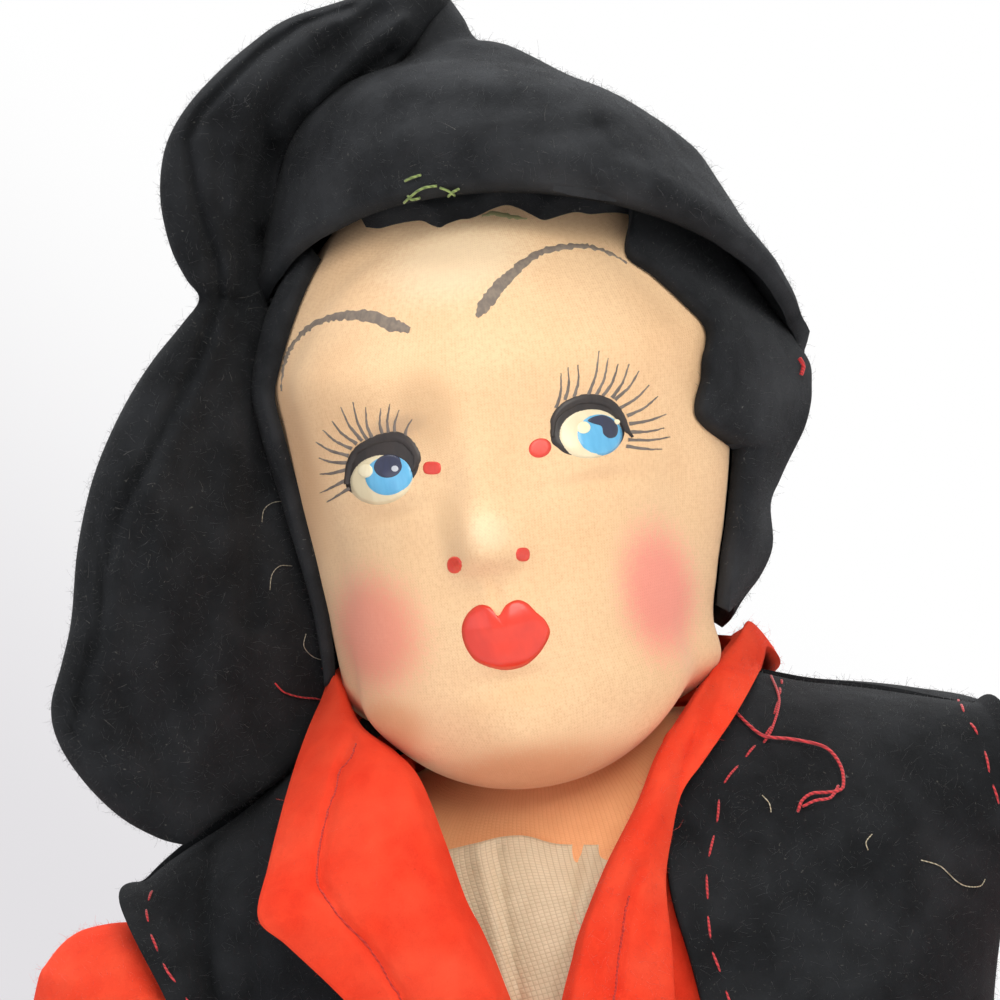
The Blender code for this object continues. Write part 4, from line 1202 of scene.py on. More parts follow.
        painter.patch("right_eye_white", oval((590, 433), 66, 51, 6), 0.10 * MM, sclera, 0.10 * MM)
        painter.patch("right_iris", oval((598, 434), 49, 44), 0.19 * MM, iris, 0.06 * MM)
        painter.patch("right_pupil", [(584, 420), (592, 415), (603, 414), (613, 419), (619, 428), (617, 438), (609, 441), (602, 436), (600, 427), (592, 424)], 0.25 * MM, pupil, 0.02 * MM)
        painter.patch("right_glint", oval((583, 428), 15, 14), 0.30 * MM, glint, 0.04 * MM)
        painter.patch("right_pale_glint", oval((616, 422), 6, 6), 0.30 * MM, glint, 0.02 * MM)
        painter.strokes(
            "right_upper_lid",
            [([(552, 437), (554, 420), (561, 410), (574, 402), (592, 399), (609, 404), (620, 415), (627, 430), (632, 437)], (4, 7, 9, 10, 11, 10, 9, 5, 2))],
            0.28 * MM,
            lid,
            0.5,
        )
        left_lashes = (
            ((372, 438), (366, 407)), ((362, 441), (341, 407)), ((357, 444), (332, 421)),
            ((352, 449), (323, 430)), ((349, 456), (316, 442)), ((347, 463), (319, 458)),
            ((346, 470), (320, 474)), ((346, 480), (320, 493)), ((350, 488), (327, 502)),
            ((383, 436), (381, 408)), ((395, 434), (399, 410)), ((367, 440), (353, 402)),
            ((405, 437), (412, 419)), ((389, 435), (390, 404))
        )
        right_lashes = (
            ((556, 408), (561, 373)), ((565, 400), (568, 367)), ((574, 397), (578, 365)), ((588, 396), (599, 351)),
            ((596, 396), (608, 358)), ((603, 396), (618, 364)), ((615, 400), (639, 371)), ((620, 408), (649, 385)),
            ((627, 416), (658, 396)), ((629, 424), (666, 414)), ((628, 440), (670, 437)), ((612, 398), (629, 364)),
            ((629, 432), (664, 428)), ((626, 446), (662, 449)),
        )
        painter.strokes("left_lashes", [self.lash(*pair, -1) for pair in left_lashes], 0.06 * MM, lash, 0.4, 5)
        painter.strokes("right_lashes", [self.lash(*pair, 1) for pair in right_lashes], 0.06 * MM, lash, 0.4, 6)

    @staticmethod
    def lash(base: Pixel, tip: Pixel, side: int) -> tuple[list[Pixel], tuple[float, ...]]:
        """Give one lash: a stroke that bends and thins to its tip."""
        middle = ((base[0] + tip[0]) / 2 + 2.2 * side, (base[1] + tip[1]) / 2 + 1.5)
        return [base, middle, tip], (4.6, 3.6, 2.4, 1.1)

    def build_brows(self, painter: FacePainter) -> None:
        """Paint both brows with a dry brush, and a greenish strip of painted shade under the fringe's edge."""
        brow = Paint(f"{self.prefix}_brow_paint", self.palette.brow, "978878", 0.75, streak=0.6 * MM, streak_share=0.75).material()
        left = ([(410, 330), (393, 325), (372, 317), (351, 315), (330, 318), (313, 325), (299, 337), (289, 351), (284, 367), (281, 391)], (7, 17, 15, 12, 9, 7, 5.5, 4.5, 3.5, 1.5))
        right = ([(477, 317), (486, 303), (498, 287), (512, 274), (526, 261), (544, 251), (564, 247), (582, 246), (598, 249), (613, 255), (627, 263)], (7, 17, 15, 12, 10, 8, 7, 6, 5, 3.5, 1.5))
        painter.strokes("brows", [left, right], 0.06 * MM, brow, 1.5, 11)
        # A greenish strip of painted shade on the forehead, just under the fringe's edge
        green = Paint(f"{self.prefix}_hairline_stain", "9C9A6A", "B8AC80", 0.8).material()
        fleck = ([(482, 216), (494, 213), (508, 216), (527, 219)], (2.5, 5.5, 6.0, 2.0))
        painter.strokes("hairline_fleck", [fleck], 0.05 * MM, green, 0.9, 12)

    def build_dots(self, painter: FacePainter) -> None:
        """Paint the red dots by the eyes and under the nose."""
        red = Paint(f"{self.prefix}_red_dot_paint", self.dot_colour, "C9301F", 0.42, 0.3, streak=0.9 * MM).material()
        painter.patch("left_eye_dot", oval((432, 468), 18, 13, 0, 0.7), 0.10 * MM, red, 0.06 * MM)
        painter.patch("right_eye_dot", oval((540, 448), 23, 19, 20), 0.10 * MM, red, 0.06 * MM)
        painter.patch("left_nose_dot", oval((454.5, 565), 15, 17, 0, 0.9), 0.10 * MM, red, 0.06 * MM)
        painter.patch("right_nose_dot", oval((523, 554.5), 14, 14, 0, 0.8), 0.10 * MM, red, 0.06 * MM)

    def build_mouth(self, painter: FacePainter) -> None:
        """Paint the mouth, one glossy patch with a bow above."""
        lip = Paint(f"{self.prefix}_lip_paint", self.palette.lip, self.palette.lip_shade, 0.34, 0.3, streak=2.2 * MM).material()
        outline = [
            (498, 616), (490, 607), (479, 605), (468, 613), (462, 626), (463, 640), (469, 653), (479, 663),
            (501, 670), (522, 667), (536, 657), (545, 645), (550, 632), (545, 620), (536, 612), (527, 603),
            (517, 600), (506, 605)
        ]
        painter.patch("mouth", outline, 0.16 * MM, lip, 0.16 * MM, 8, 72)


@dataclass(frozen=True)
class Crease:
    """A fold or groove laid along pixels of the photograph."""

    points: tuple[Pixel, ...]
    height: float
    spread: float

    @cached_property
    def box(self) -> tuple[float, float, float, float]:
        """Give the pixels outside which the crease does nothing."""
        columns, rows = zip(*self.points)
        edge = 2.6 * self.spread
        return (min(columns) - edge, min(rows) - edge, max(columns) + edge, max(rows) + edge)

    def rise(self, px: float, py: float) -> float:
        """Give how far the cloth stands out at a pixel, in metres."""
        left, top, right, bottom = self.box
        if not (left < px < right and top < py < bottom):
            return 0.0
        nearest = 1e9
        for (ax, ay), (bx, by) in zip(self.points, self.points[1:]):
            run, fall = bx - ax, by - ay
            share = ((px - ax) * run + (py - ay) * fall) / (run * run + fall * fall)
            share = min(max(share, 0.0), 1.0)
            nearest = min(nearest, math.hypot(px - ax - share * run, py - ay - share * fall))
        return self.height * MM * math.exp(-((nearest / self.spread) ** 2))


def pixel_of(place: Vector) -> Pixel:
    """Give the photograph's pixel at which a place shows."""
    reach = place - VIEW.eye
    half = VIEW.frame_px / 2
    scale = 1 / (reach.y * VIEW.slope)
    return (half + reach.dot(VIEW.right) * scale, half - reach.dot(VIEW.up) * scale)


def ripple(place: Vector, size: float, height: float, seed: float = 0.0) -> float:
    """Give soft handling waves of a real size at a place."""
    return height * noise.noise(place / size + Vector((seed, 1.7 * seed, 0.0)))


def pushed_out(place: Vector, centre: Vector, trees: Sequence[BVHTree], clear: float) -> Vector:
    """Move a place away from a centre until it clears what lies inside.

    Args:
        place: The place to move.
        centre: A point inside, from which the way out is measured.
        trees: Search trees of the surfaces to clear.
        clear: How far to stay off them.

    Returns:
        The place, moved only where it lay too deep.
    """
    way = place - centre
    reach = way.length
    way.normalize()
    for tree in trees:
        hit, _, _, _ = tree.ray_cast(centre + way * 0.12, -way)
        if hit is not None:
            reach = max(reach, (hit - centre).length + clear)
    return centre + way * reach


def lay_threads(
    name: str, lines: Sequence[Sequence[Pixel]], radius: float, lift: float, tree: BVHTree,
    material: Material, body: Body
) -> None:
    """Lay loose threads over what a tree holds, along lines of pixels.

    Args:
        name: The piece's name.
        lines: The pixels along each thread.
        radius: The threads' radius in millimetres.
        lift: How high each stands off in its middle, in millimetres.
        tree: Search tree of what they lie on.
        material: The thread.
        body: The body that they ride on.
    """
    shape = bmesh.new()
    for line in lines:
        path = []
        for k in range(25):
            px, py = spline_row(line, k / 24)
            hit, _, _, _ = tree.ray_cast(VIEW.eye, VIEW.ray(px, py).normalized())
            if hit is not None:
                path.append(hit + Vector((0, -1, 0)) * (radius + lift * math.sin(math.pi * k / 24)) * MM)
        if len(path) > 4:
            add_tube(shape, path, [radius * MM] * len(path), 6)
    mesh = bpy.data.meshes.new(name)
    shape.to_mesh(mesh)
    shape.free()
    piece = link(name, mesh, material)
    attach(piece, body.value)


BLACK_FELT = Felt("black_wool_felt", "212326", "0A0B0C", "3A3C3F", "8C8A84", 0.40, 0.30)
# A lighter copy of the black felt for the cap's crown and the upper hair: painted light where the top lamp falls on
# them.
LIT_CAP_FELT = Felt("worn_black_wool_felt", "2D2F32", "0E0F11", "4A4C4F", "8C8A84", 0.40, 0.30)
RED_FELT = Felt("red_wool_felt", "FF4A2B", "E5301B", "FF6B4A", "A81C10", 0.25, 0.30, relief=0.14 * MM)
BROWN_FELT = Felt("brown_wool_felt", "5A3522", "2E190F", "7A4C33", "A58A70", 0.35, 0.3)
BLACK_FUZZ = Thread("black_wool_fibre", "2A2C30", "0C0D0F")
GREY_FUZZ = Thread("grey_lint_fibre", "6E6B66", "484642")
BROWN_FUZZ = Thread("brown_wool_fibre", "7A5238", "46291A")
RED_FUZZ = Thread("red_wool_fibre", "FF5B40", "D22A18")


@dataclass
class HairSet:
    """The four felt pieces of one half doll's hair."""

    prefix: str
    body: Body
    to_world: Matrix
    mirrored: bool
    felt: Material
    fuzz: Material
    thickness: float = 1.7 * MM
    fringe_top: float = 34.0
    fringe_edge: tuple[Pixel, ...] = (
        (366, 226), (373, 227), (381, 227), (396, 223), (413, 220), (423, 220), (431, 224), (440, 227),
        (448, 223), (460, 219), (470, 218), (480, 214), (492, 208), (506, 204), (518, 207), (530, 213),
        (542, 219), (550, 218), (562, 214), (576, 211), (590, 213), (605, 212), (619, 212), (632, 216),
        (646, 232)
    )
    # Pairs of pixels: the edge on the face, and the outline against the backdrop
    near_side: tuple[tuple[float, float, float, float], ...] = (
        (620, 188, 682, 200), (626, 217, 716, 235), (624, 252, 748, 276), (650, 273, 774, 310),
        (681, 301, 788, 328), (701, 322, 797, 344), (703, 336, 806, 356), (699, 353, 811, 368),
        (698, 374, 812, 384), (693, 395, 812, 399), (694, 411, 809, 415), (704, 424, 804, 430),
        (723, 440, 796, 446), (736, 453, 788, 462), (738, 469, 780, 480), (731, 500, 771, 504),
        (725, 538, 773, 545), (720, 580, 761, 575), (721, 598, 744, 596), (726, 609, 733, 607)
    )
    far_angles: tuple[float, ...] = (70, 70, 71, 73, 76, 78, 80, 82)
    back_angle: float = 122.0

    def build(self, surface: FaceSurface) -> list[Thing]:
        """Build the fringe, both sides and the nape.

        Args:
            surface: The mask that they lie round.

        Returns:
            The four pieces, for what is worn over them.
        """
        flip = Matrix.Diagonal((-1.0, 1.0, 1.0, 1.0)) if self.mirrored else Matrix()
        matrix = self.to_world @ flip
        near, far = ("right", "left") if self.mirrored else ("left", "right")
        pieces = [
            self.make("hair_fringe", 150, 8, self.fringe(surface), matrix),
            self.make(f"hair_{near}", 46, 90, self.near(surface), matrix),
            self.make(f"hair_{far}", 34, 50, self.far, matrix),
            self.make("hair_back", 50, 36, self.nape, matrix)
        ]
        LOG.info("%s hair: %d pieces", self.prefix, len(pieces))
        return pieces

    def make(self, part: str, columns: int, rows: int, place: Place, matrix: Matrix) -> Thing:
        """Make one piece of felt over its CAD node, with fibres along it."""

        def outer(across: float, up: float) -> Vector:
            here = place(across, up)
            return matrix @ (here * (1 + ripple(here, 9 * MM, 0.006)))

        def inner(across: float, up: float) -> Vector:
            here = place(across, up)
            return matrix @ (here * (1 + ripple(here, 9 * MM, 0.006) - self.thickness / here.length))

        name = f"{self.prefix}_{part}"
        piece = link(f"{name}_felt", sheet_mesh(name, columns, rows, outer, inner), self.felt)
        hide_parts(name)
        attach(piece, self.body.value)
        fuzz = Fuzz(len(name), 120).build(f"{name}_fuzz", piece, self.fuzz)
        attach(fuzz, self.body.value)
        return piece

    def fringe(self, surface: FaceSurface) -> Place:
        """Give the fringe: its scalloped edge on the forehead, its root under the cap."""

        def place(across: float, up: float) -> Vector:
            px, py = spline_row(self.fringe_edge, across)
            reach = self.fringe_top * up
            lift = (0.35 + 1.6 * smooth_step(0.0, 0.18, up)) * MM
            return surface.trace(px + 0.12 * reach, py - reach, lift)

        return place

    def near(self, surface: FaceSurface) -> Place:
        """Give the full side piece that the photograph shows, from the cheek round to the nape."""
        to_head = UPPER_HEAD.inverted()

        def place(across: float, up: float) -> Vector:
            ax, ay, bx, by = spline_row(self.near_side, 1 - up)
            front = surface.trace(ax, ay, 1.9 * MM)
            edge = to_head @ VIEW.point(bx, by, 1.0 * MM)
            lift = math.atan2(edge.z, math.hypot(edge.x, edge.y))
            way = direction(math.radians(self.back_angle), max(lift, math.radians(-33)))
            back = MOULD.place(way, (2.2 + 1.6 * smooth_step(0.1, 0.6, up)) * MM)
            if across < 0.5:
                share = across * 2
                bulge = front.lerp(edge, share)
                out = 2.6 * MM * math.sin(math.pi * share) * (1 - 0.6 * share)
                bulge += Vector((0.25, -1, 0)).normalized() * out * min(1.0, 4 * up + 0.15)
                return MOULD.held_off(bulge, 1.9 * MM)
            share = across * 2 - 1
            turn = edge.lerp(back, share)
            reach = edge.length * (1 - share) + back.length * share
            return turn.normalized() * reach

        return place

    def far(self, across: float, up: float) -> Vector:
        """Give the side piece behind the far cheek."""
        front = spline(self.far_angles, (1 - up) * (len(self.far_angles) - 1))
        longitude = front + across * (self.back_angle - front)
        latitude = -34 + up * 92 + 14 * (1 - up) ** 2 * across
        way = direction(-math.radians(longitude), math.radians(latitude))
        return MOULD.place(way, (2.0 + 1.2 * across) * MM)

    def nape(self, across: float, up: float) -> Vector:
        """Give the piece that covers the back of the head, lightly pleated."""
        longitude = 118 + across * 124
        way = direction(math.radians(longitude), math.radians(-31 + up * 58))
        pleat = 0.4 * MM * math.sin(across * math.tau * 6) * (1 - up)
        return MOULD.place(way, 1.9 * MM + pleat)


@dataclass
class StockingCap:
    """The felt stocking cap: its crown, its hanging tail and the stitches on it."""

    # The crown's felt: the lighter copy of black felt, painted light on top
    felt: Material
    tail_felt: Material
    fuzz: Material
    lint: Material
    thickness: float = 2.0 * MM
    # Left pixel, right pixel, rise in pixels, middle depth and half depth in millimetres
    crown_rows: tuple[tuple[float, ...], ...] = (
        (252, 312, 806, 350, 152, 5.0, 30.0), (258, 280, 800, 330, 138, 5.0, 30.6),
        (263, 250, 782, 302, 126, 5.0, 30.8), (268, 220, 765, 276, 112, 5.0, 30.4),
        (276, 185, 735, 225, 95, 5.0, 29.0), (290, 147, 701, 172, 76, 4.6, 26.4),
        (316, 112, 650, 130, 54, 3.8, 21.0), (352, 92, 590, 97, 36, 2.6, 15.5),
        (392, 74, 520, 55, 20, 1.0, 9.8), (404, 52, 478, 42, 8, 0.0, 6.6), (416, 20, 462, 18, 2, -1.0, 4.8),
        (424, -6, 450, 0, 0, -1.6, 3.4), (432, -16, 441, -12, 0, -2.0, 1.2)
    )
    crown_creases: tuple[Crease, ...] = (
        Crease(((386, 78), (392, 100), (395, 125), (397, 150)), -0.7, 4.5),
        Crease(((400, 92), (404, 120), (408, 146)), 0.5, 9.0),
        Crease(((453, 143), (500, 136), (560, 128), (617, 121)), -0.6, 7.0),
        Crease(((455, 132), (520, 122), (600, 112)), 0.6, 12.0),
        Crease(((300, 196), (350, 160), (430, 128)), 0.5, 16.0),
        Crease(((330, 215), (420, 168), (520, 150)), -0.4, 12.0),
        Crease(((560, 160), (650, 175), (720, 225)), 0.4, 14.0),
        Crease(((470, 60), (480, 90), (500, 112)), -0.5, 9.0)
    )
    # Outline pixel, inner edge pixel, depth of each edge and half thickness in millimetres
    tail_rows: tuple[tuple[float, ...], ...] = (
        (444, -14, 450, -8, -2.0, -2.0, 0.8), (420, -27, 447, 6, -3.0, -3.0, 3.8),
        (385, -17, 430, 24, -4.0, -3.4, 5.8), (344, 0, 410, 52, -4.5, -3.0, 7.0),
        (287, 19, 380, 84, -4.5, -2.0, 7.8), (249, 45, 345, 100, -4.5, 0.0, 8.2),
        (217, 73, 318, 116, -4.5, 1.5, 8.2), (188, 105, 296, 142, -4.5, 2.0, 8.0),
        (169, 137, 284, 168, -4.5, 2.5, 7.6), (161, 169, 277, 196, -4.5, 2.5, 7.2),
        (161, 207, 272, 224, -4.5, 2.5, 6.8), (171, 249, 268, 254, -4.5, 2.5, 6.2),
        (186, 279, 266, 280, -4.5, 3.0, 5.8), (199, 299, 268, 302, -4.5, 3.5, 5.8),
        (182, 324, 272, 332, -5.0, 4.0, 6.6), (153, 360, 278, 368, -5.5, 4.5, 7.6),
        (128, 399, 283, 410, -6.0, 4.8, 8.6), (105, 446, 292, 455, -6.5, 5.0, 9.4),
        (89, 492, 304, 500, -6.5, 5.0, 10.0), (77, 552, 314, 552, -6.5, 5.0, 10.4),
        (71, 621, 340, 612, -6.5, 6.0, 10.6), (61, 666, 352, 660, -6.5, 7.0, 10.2),
        (51, 706, 344, 706, -6.5, 6.0, 9.4), (58, 742, 318, 744, -6.5, 4.0, 8.6),
        (84, 782, 286, 776, -6.5, 1.0, 7.4), (120, 817, 250, 800, -6.5, -2.0, 5.8),
        (158, 838, 218, 820, -6.5, -5.0, 3.6), (184, 845, 196, 838, -6.5, -6.5, 0.8)
    )
    tail_creases: tuple[Crease, ...] = (
        Crease(((350, 8), (300, 26), (262, 52), (228, 84), (201, 112), (188, 140), (191, 170), (198, 204), (217, 265), (220, 297), (207, 335), (191, 376), (150, 455), (118, 519), (105, 564), (99, 628), (80, 698), (72, 730)), -1.5, 5.0),
        Crease(((205, 140), (212, 204), (230, 262), (233, 297), (222, 340), (205, 380), (160, 470), (132, 525), (118, 570), (112, 632), (95, 700)), 0.7, 9.0),
        Crease(((403, 21), (372, 44), (342, 70), (317, 100)), 2.2, 9.0),
        Crease(((392, 50), (360, 74), (333, 100)), -2.4, 7.0),
        Crease(((380, 10), (340, 40), (300, 72), (276, 105), (262, 130)), -1.8, 8.0),
        Crease(((330, 24), (285, 60), (250, 100), (236, 150), (236, 210)), 1.6, 12.0),
        Crease(((271, 143), (262, 175), (258, 205), (258, 240)), -4.6, 12.0),
        Crease(((262, 240), (250, 275), (238, 300)), -2.0, 12.0),
        Crease(((201, 298), (226, 300), (250, 306)), -1.6, 10.0),
        Crease(((262, 320), (240, 380), (232, 450), (226, 540)), 1.2, 16.0),
        Crease(((258, 360), (262, 430), (262, 520), (250, 620)), -1.6, 13.0),
        Crease(((170, 420), (160, 500), (165, 580)), 0.9, 22.0),
        Crease(((210, 600), (180, 680), (150, 740)), -0.9, 14.0),
        Crease(((240, 640), (226, 700), (196, 760)), 0.8, 16.0),
        Crease(((120, 690), (150, 740), (172, 790)), -0.7, 12.0),
    )

    tail_wisps: tuple[tuple[Pixel, ...], ...] = (
        ((262, 522), (264, 510), (272, 503), (284, 501)), ((270, 590), (272, 575), (280, 566), (292, 566)),
        ((306, 634), (304, 646), (312, 656), (322, 660)), ((150, 250), (156, 262), (152, 276))
    )
    tail_red: tuple[tuple[Pixel, ...], ...] = (
        ((275, 683), (284, 692), (300, 697), (318, 699), (330, 704)), ((322, 668), (328, 674), (332, 682))
    )
    hair_red: tuple[tuple[Pixel, ...], ...] = (((799, 358), (803, 366), (801, 375)),)

    def build(self, under: Sequence[Thing]) -> None:
        """Build the crown and the tail over the head and hair.

        Args:
            under: The pieces that the cap lies on.
        """
        self.trees = [surface_tree(*under)]
        self.centre = UPPER_HEAD @ Vector((0, 0, 0))
        crown = self.build_crown()
        self.build_tail(crown)
        self.build_stitches(crown)
        red = Thread("red_thread_fleck", "D8242A", "8E1A1C").material()
        lay_threads("hair_red_fleck", self.hair_red, 0.3, 0.1, self.trees[0], red, Body.UPPER_HEAD)
        LOG.info("stocking cap: crown, tail and stitches")

    def crown_place(self, around: float, up: float) -> Vector:
        """Give the crown's outside for a share round and a share up."""
        place = up * (len(self.crown_rows) - 1)
        ax, ay, bx, by, rise, depth, half_depth = (spline(c, place) for c in zip(*self.crown_rows))
        angle = math.tau * around
        wide = math.cos(angle)
        front = math.sin(angle)
        px = (ax + bx) / 2 - (bx - ax) / 2 * wide + rise * front * (by - ay) / max(bx - ax, 1.0)
        py = (ay + by) / 2 - (by - ay) / 2 * wide - rise * front
        here = VIEW.point(px, py, (depth - half_depth * front) * MM)
        out = Vector((VIEW.right * -wide)) + Vector((0, -front, 0))
        swell = sum(crease.rise(px, py) for crease in self.crown_creases) if front > 0 else 0.0
        swell += ripple(here, 13 * MM, 0.7 * MM, 2.0) + ripple(here, 5 * MM, 0.22 * MM, 5.0)
        return here + out.normalized() * swell

    def build_crown(self) -> Thing:
        """Build the crown as one closed piece of felt with a cut edge."""
        clear = self.thickness + 0.5 * MM

        def outer(around: float, up: float) -> Vector:
            return pushed_out(self.crown_place(around, up), self.centre, self.trees, clear)

        def inner(around: float, up: float) -> Vector:
            here = outer(around, up)
            way = here - (self.centre + Vector((0, 0, 0.018 * up)))
            return here - way.normalized() * self.thickness

        mesh = sheet_mesh("upper_cap_crown", 120, 58, outer, inner, closed=True)
        piece = link("upper_cap_crown_felt", mesh, self.felt)
        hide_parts("upper_cap_crown")
        self.dress(piece, Body.UPPER_HEAD, 21)
        return piece

    def tail_place(self, around: float, along: float) -> Vector:
        """Give the tail's outside for a share round and a share along."""
        place = along * (len(self.tail_rows) - 1)
        ax, ay, bx, by, near, far, half = (spline(c, place) for c in zip(*self.tail_rows))
        angle = math.tau * around
        across = (1 - math.cos(angle)) / 2
        thick = math.copysign(abs(math.sin(angle)) ** 0.8, math.sin(angle)) * half
        px = ax + (bx - ax) * across
        py = ay + (by - ay) * across
        depth = near + (far - near) * across
        swell = 0.0
        if thick > 0:
            fade = min(1.0, 2.4 * math.sin(angle))
            swell = fade * sum(crease.rise(px, py) for crease in self.tail_creases)
        here = VIEW.point(px, py, (depth - thick) * MM - swell)
        return here + Vector((0, -1, 0)) * ripple(here, 12 * MM, 0.8 * MM, 7.0) * math.sin(angle)

    def build_tail(self, crown: Thing) -> None:
        """Build the hanging tail, puffed below its notch."""
        mesh = sheet_mesh("upper_cap_tail", 84, 170, self.tail_place, closed=True)
        piece = link("upper_cap_tail_felt", mesh, self.tail_felt)
        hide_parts("upper_cap_tail")
        self.dress(piece, Body.CAP_TAIL, 33)
        tree = surface_tree(piece)
        wisp = Thread("pale_linen_wisp", "B8B09C", "8A8270").material()
        lay_threads("tail_pale_wisps", self.tail_wisps, 0.045, 0.5, tree, wisp, Body.CAP_TAIL)
        red = Thread("red_thread_end", "C2262A", "7E1418").material()
        lay_threads("tail_red_thread", self.tail_red, 0.11, 0.3, tree, red, Body.CAP_TAIL)

    def dress(self, piece: Thing, body: Body, seed: int) -> None:
        """Give a piece of the cap its body, its fibres and its lint."""
        front = 1.0 if body is Body.CAP_TAIL else 0.5
        fuzz = Fuzz(seed, 110, front_share=front).build(f"{piece.name}_fuzz", piece, self.fuzz)
        lint = Fuzz(seed + 1, 2.6, 1.2 * MM, 0.020 * MM, 0.3, 5, front).build(
            f"{piece.name}_lint", piece, self.lint
        )
        for each in (piece, fuzz, lint):
            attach(each, body.value)

    def build_stitches(self, crown: Thing) -> None:
        """Lay the loose green stitches that hold the cap to the hair."""
        green = Thread("green_cotton_thread", "8FA25C", "5E7038").material()
        tree = surface_tree(crown)
        shape = bmesh.new()
        lines = (
            ((404, 203), (414, 194), (424, 188), (437, 186)),
            ((440, 188), (448, 191), (455, 196), (461, 201)), ((405, 181), (412, 178), (421, 175)),
            ((408, 196), (412, 200), (420, 198)), ((446, 199), (452, 193), (459, 189))
        )
        for line in lines:
            points = []
            for k in range(9):
                px, py = spline_row(line, k / 8)
                hit, normal, _, _ = tree.ray_cast(VIEW.eye, VIEW.ray(px, py).normalized())
                if hit is not None:
                    rise = (0.25 + 0.45 * math.sin(math.pi * k / 8)) * MM
                    points.append(hit + Vector((0, -1, 0)) * rise)
            if len(points) > 2:
                add_tube(shape, points, [0.17 * MM] * len(points), 6)
        mesh = bpy.data.meshes.new("cap_green_stitches")
        shape.to_mesh(mesh)
        shape.free()
        piece = link("cap_green_stitches", mesh, green)
        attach(piece, Body.UPPER_HEAD.value)


@dataclass
class StuffedHead:
    """The plain stuffed head and neck behind one moulded face."""

    prefix: str
    head_body: Body
    neck_body: Body
    to_world: Matrix
    neck_to_world: Matrix
    cloth: Material
    # The oranger copy of the muslin: painted shade under the chin
    shaded_neck_cloth: Material

    def build(self) -> list[Thing]:
        """Build the head and the neck, and give the head back."""

        def skull(across: float, up: float) -> Vector:
            way = direction(math.tau * across, math.radians(-89.5 + 179 * up))
            here = MOULD.core_place(way)
            return self.to_world @ (here * (1 + ripple(here, 8 * MM, 0.004)))

        head = link(
            f"{self.prefix}_head_cloth", sheet_mesh(f"{self.prefix}_head", 72, 48, skull, closed=True),
            self.cloth
        )
        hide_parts(f"{self.prefix}_head")
        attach(head, self.head_body.value)
        self.build_neck()
        return [head]

    def build_neck(self) -> None:
        """Build the stuffed neck with a few soft rings and its gathered foot."""
        radii = (0.4, 6.2, 9.8, 11.2, 11.3, 11.0, 10.7, 10.5, 10.4, 10.2, 9.0, 0.4)
        rises = (11.4, 9.8, 6.2, 2.0, -0.5, -2.2, -3.4, -4.6, -6.0, -7.6, -8.6, -9.2)

        def neck(around: float, up: float) -> Vector:
            place = (1 - up) * (len(radii) - 1)
            radius = spline(radii, place) * MM
            angle = math.tau * around
            radius *= 1 + 0.02 * math.sin(angle * 9) * (1 - up)
            return self.neck_to_world @ Vector(
                (radius * math.sin(angle), -radius * math.cos(angle), spline(rises, place) * MM)
            )

        piece = link(
            f"{self.prefix}_neck_cloth", sheet_mesh(f"{self.prefix}_neck", 56, 40, neck, closed=True),
            self.shaded_neck_cloth
        )
        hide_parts(f"{self.prefix}_neck")
        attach(piece, self.neck_body.value)


class TorsoForm:
    """The stuffed body's shape, and the cloth that lies at an offset from it."""

    height = 82.5 * MM
    half_width = 47.0 * MM
    half_depth = 22.5 * MM
    top_shift = 3.0 * MM
    left_slope = 3.4 * MM
    # Height, half width, half depth and backward shift, as shares
    shares = (
        (0.00, 0.64, 0.88, 0.00), (0.18, 0.66, 0.93, 0.00), (0.42, 0.77, 1.00, 0.05),
        (0.63, 0.88, 0.98, 0.25), (0.76, 0.96, 0.90, 0.50), (0.860, 0.985, 0.78, 0.75),
        (0.925, 0.82, 0.68, 0.90), (0.970, 0.58, 0.61, 1.00), (1.000, 0.36, 0.56, 1.00)
    )
    last = 8.0

    @lru_cache(maxsize=4096)
    def ring(self, station: float) -> tuple[float, ...]:
        """Give the shares at a station number."""
        return tuple(spline(column, station) for column in zip(*self.shares))

    def surface(self, station: float, angle: float) -> Vector:
        """Give the bare body's place at a station number and an angle from the front."""
        high, wide, deep, shift = self.ring(station)
        across = self.half_width * wide * math.sin(angle)
        slope = smooth_step(10 * MM, 30 * MM, across) * smooth_step(0.74, 0.94, high)
        return Vector(
            (
                across, self.top_shift * shift - self.half_depth * deep * math.cos(angle),
                self.height * high - self.left_slope * slope
            )
        )

    def point(self, station: float, angle: float, offset: float) -> Vector:
        """Give the place that lies the offset outside the body."""
        here = self.surface(station, angle)
        low, high = max(station - 0.02, 0.0), min(station + 0.02, self.last)
        along = self.surface(high, angle) - self.surface(low, angle)
        around = self.surface(station, angle + 0.02) - self.surface(station, angle - 0.02)
        return here + around.cross(along).normalized() * offset

    def station_at(self, share: float) -> float:
        """Find the station number of a share of the height."""
        low, high = 0.0, self.last
        column = [row[0] for row in self.shares]
        for _ in range(30):
            middle = (low + high) / 2
            low, high = (middle, high) if spline(column, middle) < share else (low, middle)
        return (low + high) / 2


TORSO = TorsoForm()
SHOULDER = Vector((58.0 * MM, 1.5 * MM, 62.0 * MM))
LOWER_SHOULDER = Vector((60.7 * MM, 1.5 * MM, 62.0 * MM))
SHOULDER_CLEAR = 14.6 * MM


